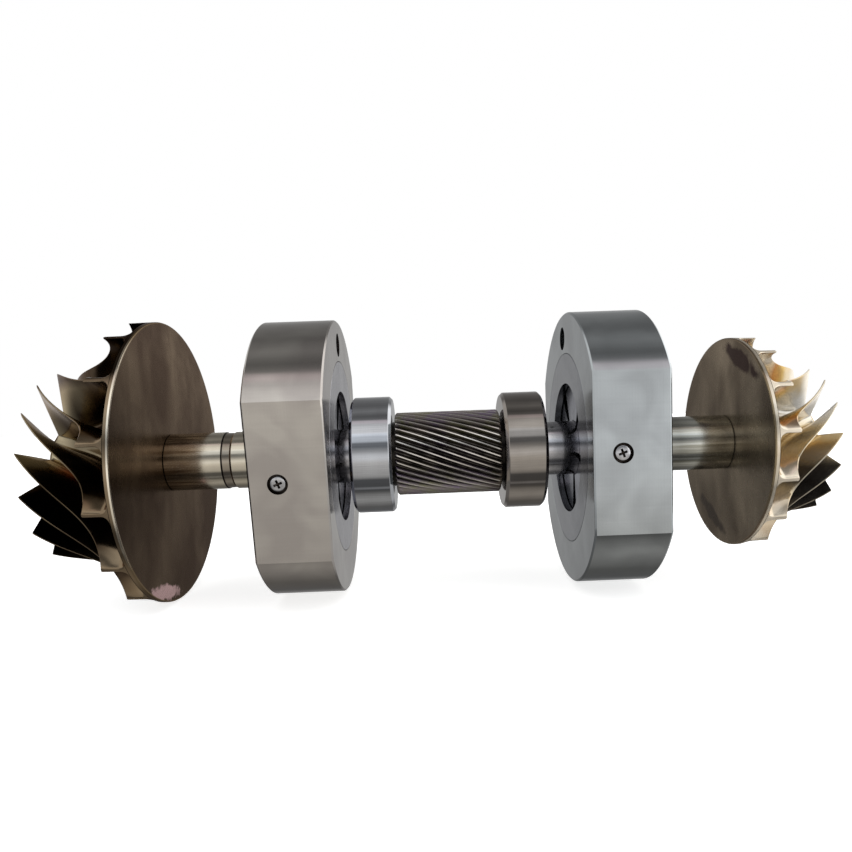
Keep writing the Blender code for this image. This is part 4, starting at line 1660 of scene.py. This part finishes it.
    def world(self) -> None:
        """Make the surroundings: white for the camera and soft panels for what the metal mirrors."""
        world = bpy.data.worlds.new("studio")
        world.use_nodes = True
        bpy.context.scene.world = world
        tree = world.node_tree
        shader = tree.nodes["Background"]
        way = add_node(tree, "ShaderNodeSeparateXYZ", {
            0: add_node(tree, "ShaderNodeTexCoord").outputs["Generated"]}).outputs
        front = Step.MULTIPLY.add(tree, way["Y"], -1.0)
        height = Step.ANGLE.add(tree, way["Z"], front)
        turn = Step.RANGE.add(tree, height, -math.pi, math.pi)
        ramps = []
        for panels in (self.panels_behind, self.panels):
            stops = [(degrees / 360.0 + 0.5, (*(radiance / self.strength * part for part in tint.value), 1.0))
                     for degrees, radiance, tint in panels]
            ramps.append(add_node(tree, "ShaderNodeValToRGB", {0: turn}, stops=stops).outputs[0])
        bands = Step.BLEND.add(tree, Step.ABOVE.add(tree, front, 0.0), *ramps)
        # Beyond both ends of the rotor the surroundings are plain: dim below and brighter above
        low, high = (Step.RANGE.add(tree, way["X"], *self.side_change, left / self.strength,
                                    right / self.strength)
                     for left, right in (self.side_low, self.side_high))
        aside = Step.SOFT_RANGE.add(tree, Step.ABSOLUTE.add(tree, way["X"]), *self.side_edge)
        plain = Step.SOFT_RANGE.add(tree, way["Z"], *self.low_edge, low, high)
        seen = Step.BLEND.add(tree, aside, bands, plain)
        path = add_node(tree, "ShaderNodeLightPath").outputs["Is Camera Ray"]
        white = (*[1.0 / self.strength] * 3, 1.0)
        color = Step.BLEND.add(tree, path, seen, white)
        tree.links.new(color, shader.inputs["Color"])
        shader.inputs["Strength"].default_value = self.strength

    def build(self) -> None:
        """Build the whole studio."""
        self.camera()
        self.floor()
        self.world()
        self.lamp()


def main() -> None:
    """Build every piece in order and report it."""
    logging.basicConfig(level=logging.INFO, format="%(name)s: %(message)s")
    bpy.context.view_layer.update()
    axis = ShaftAxis.from_frame()
    rings = RingOfCopies()
    bpy.context.scene.view_settings.view_transform = "Standard"
    Studio().build()
    # Forged steel, turned and then ground on its flats: satin grey with soft clouds and hardly a line
    ground = {"mark_depth": 0.05, "cloud_mm": 42.0, "cloud_share": 0.7, "streak_share": 0.02}
    warm_steel = Finish("ground_steel_warm", "#CAC5BE", "#AFA8A4", 0.13, **ground).make(axis)
    # The right housing's copy: painted shade on its end faces, and painted light that makes it lighter
    # towards the top
    cool_steel = Finish("ground_steel_cool", "#BFC4C6", "#A5A9AB", 0.13, **ground, face_shade=0.76,
                        tilt=-0.16, light_tilt_mm=100.0).make(axis)
    # Turned steel plates: rings of fine marks that spread the light a little more than the housing
    plate_left = Finish("turned_plate_steel_left", "#B9B8BC", "#9C9BA0", 0.20, mark_mm=0.6).make(axis)
    # The right plates are a darker copy: painted shade
    plate_right = Finish("turned_plate_steel_right", "#909297", "#787A7F", 0.20, mark_mm=0.6).make(axis)
    # Painted shade inside the drilled and milled recesses and the screws' cross recesses: near black, and
    # hardly shiny
    recess_shade = Finish("oiled_recess_steel", "#3A3430", "#1E1A18", 0.35, cloud_mm=4.0).make(axis)
    # Polished journal steel, stained by oil: sharp bright lines along it, brown towards the left end, painted
    # light towards both impellers and painted shade in the narrow gaps
    shaft_steel = ShaftFinish("polished_shaft_steel", "#D4D2D4", "#B0AFB4", 0.14, mark_mm=0.8,
                              mark_depth=0.03, cloud_mm=14.0, cloud_share=0.6).make(axis)
    # Hardened steel, finely turned: nearly a mirror, with thin lengthwise streaks in its reflections
    lapped = {"mark_depth": 0.01, "cloud_mm": 30.0, "streak_mm": 0.8, "streak_share": 0.07}
    collar_left = Finish("turned_collar_steel_cool", "#C6C8CC", "#B6B6BA", 0.055, **lapped).make(axis)
    # The right collar is darker towards the top and lighter below: painted light and shade
    collar_right = Finish("turned_collar_steel_warm", "#ACA59E", "#9C958E", 0.06, **lapped,
                          tilt=0.16).make(axis)
    # Milled steel pads under a film of oil: dull and bluish in the shade of the plates
    pad_steel = Finish("bearing_pad_steel", "#9496A0", "#6A6B74", 0.20, mark_mm=0.6, mark_depth=0.06,
                       cloud_mm=14.0).make(axis)
    # Pressed and plated screws: bright and cloudy
    screw_steel = Finish("nickel_plated_steel", "#CACACC", "#96969A", 0.16, mark_mm=0.8, mark_depth=0.03,
                         cloud_mm=3.0).make(axis)
    # Blackened steel bolts and washers: a dark, soft sheen
    bolt_steel = Finish("blackened_steel", "#4A4744", "#2C2A28", 0.38, mark_mm=0.8, mark_depth=0.05,
                        cloud_mm=8.0).make(axis)
    # Ground gear steel: bright thin crests, partly a painted highlight, over oily flanks that darken to near
    # black at the roots as painted shade
    pinion_steel = PinionFinish("pinion_steel", "#262320", "#746C66", 0.22, cloud_mm=12.0).make(axis)
    left_wheel = Impeller(
        Side.LEFT, axis, back=205.7 * MM, disc_radius=103.0 * MM, eye_radius=68.6 * MM,
        hub_radius=27.0 * MM, lead=76.8 * MM, out=19.8 * MM, nose=77.6 * MM,
        lead_angle=math.radians(11.0), wrap=math.radians(49.0))
    right_wheel = Impeller(
        Side.RIGHT, axis, back=209.3 * MM, disc_radius=77.5 * MM, eye_radius=53.0 * MM,
        hub_radius=22.0 * MM, lead=59.7 * MM, out=17.8 * MM, nose=60.5 * MM,
        lead_angle=math.radians(6.2), wrap=math.radians(47.0))
    # Stainless steel milled from a forging, tinted by heat: silver at the eye, straw and amber towards
    # the outlet, painted shade deep between the blades, and a brown patina on the back
    # The left impeller's colours are a darker copy of the right one's: painted shade on the wheel that faces
    # away from the light
    left_tint = ImpellerFinish(
        "tinted_steel_left", "#786850", "#5C4425", 0.17, mark_depth=0.03, cloud_mm=26.0,
        back=left_wheel.back, disc_radius=left_wheel.disc_radius, outlet="#94826A", amber="#6E4E2A",
        straw="#7A6234", silver="#BEB092", painted_shade="#30251D", painted_shade_share=0.98, shade_height=0.95,
        top_mm=(54.0, 62.0), glow="#A8562C", glow_share=0.75, rim="#FFF4E0", rim_dark="#85735A",
        patina="#8C7C6A", patina_dark="#605247", backlight=(0.45, 1.0), edge_tint="#D8CEC8",
        patches=(Patch("#E8C4C4", -32.0, -91.0, -11.0, 27.0, 5.5, 0.9, 5.0),))
    right_tint = ImpellerFinish(
        "tinted_steel_right", "#D6CAB2", "#7A6136", 0.17, mark_depth=0.03, cloud_mm=22.0,
        back=right_wheel.back, disc_radius=right_wheel.disc_radius, outlet="#E6DAC6", amber="#C48846",
        straw="#DCB45C", silver="#EFEBE2", painted_shade="#2A201A", painted_shade_share=0.3, shade_start=0.32,
        shade_mm=(-5.0, -17.0), heat_mm=(0.0, 24.0), rim="#948468", rim_dark="#7C6C5A",
        glow="#DCC492", glow_share=0.75, glow_mm=(4.0, 14.0), glow_top=1.6, heat_shift=0.34,
        patina="#A2937F", patina_dark="#685B4D", backlight=(0.6, 0.95), edge_tint="#E8E2DA",
        bare_share=0.88, patches=(Patch("#2A1418", -27.0, 60.0, 25.8, 27.0, 6.5, 0.95),
                                  Patch("#2A2220", 18.0, -59.0, 28.0, 24.0, 5.5, 0.9)))
    left_wheel.build(left_tint.make(axis), rings)
    right_wheel.build(right_tint.make(axis), rings)
    left_wheel.fixing(bolt_steel)
    right_wheel.fixing(bolt_steel)
    shaft = PinionShaft(axis, left_wheel, right_wheel)
    shaft.shaft(shaft_steel)
    shaft.pinion(pinion_steel, rings)
    Collar(Side.LEFT, axis).build(collar_left)
    Collar(Side.RIGHT, axis).build(collar_right)
    for side, turn, steel, plate_steel in (
        (Side.LEFT, math.radians(7.9), warm_steel, plate_left), (Side.RIGHT, 0.0, cool_steel, plate_right),
    ):
        bearing = Bearing(side, axis, turn)
        bearing.housing(steel, recess_shade)
        bearing.end_plates(plate_steel)
        bearing.pads(pad_steel, rings)
        bearing.screw(screw_steel, recess_shade)


if __name__ == "__main__":
    main()
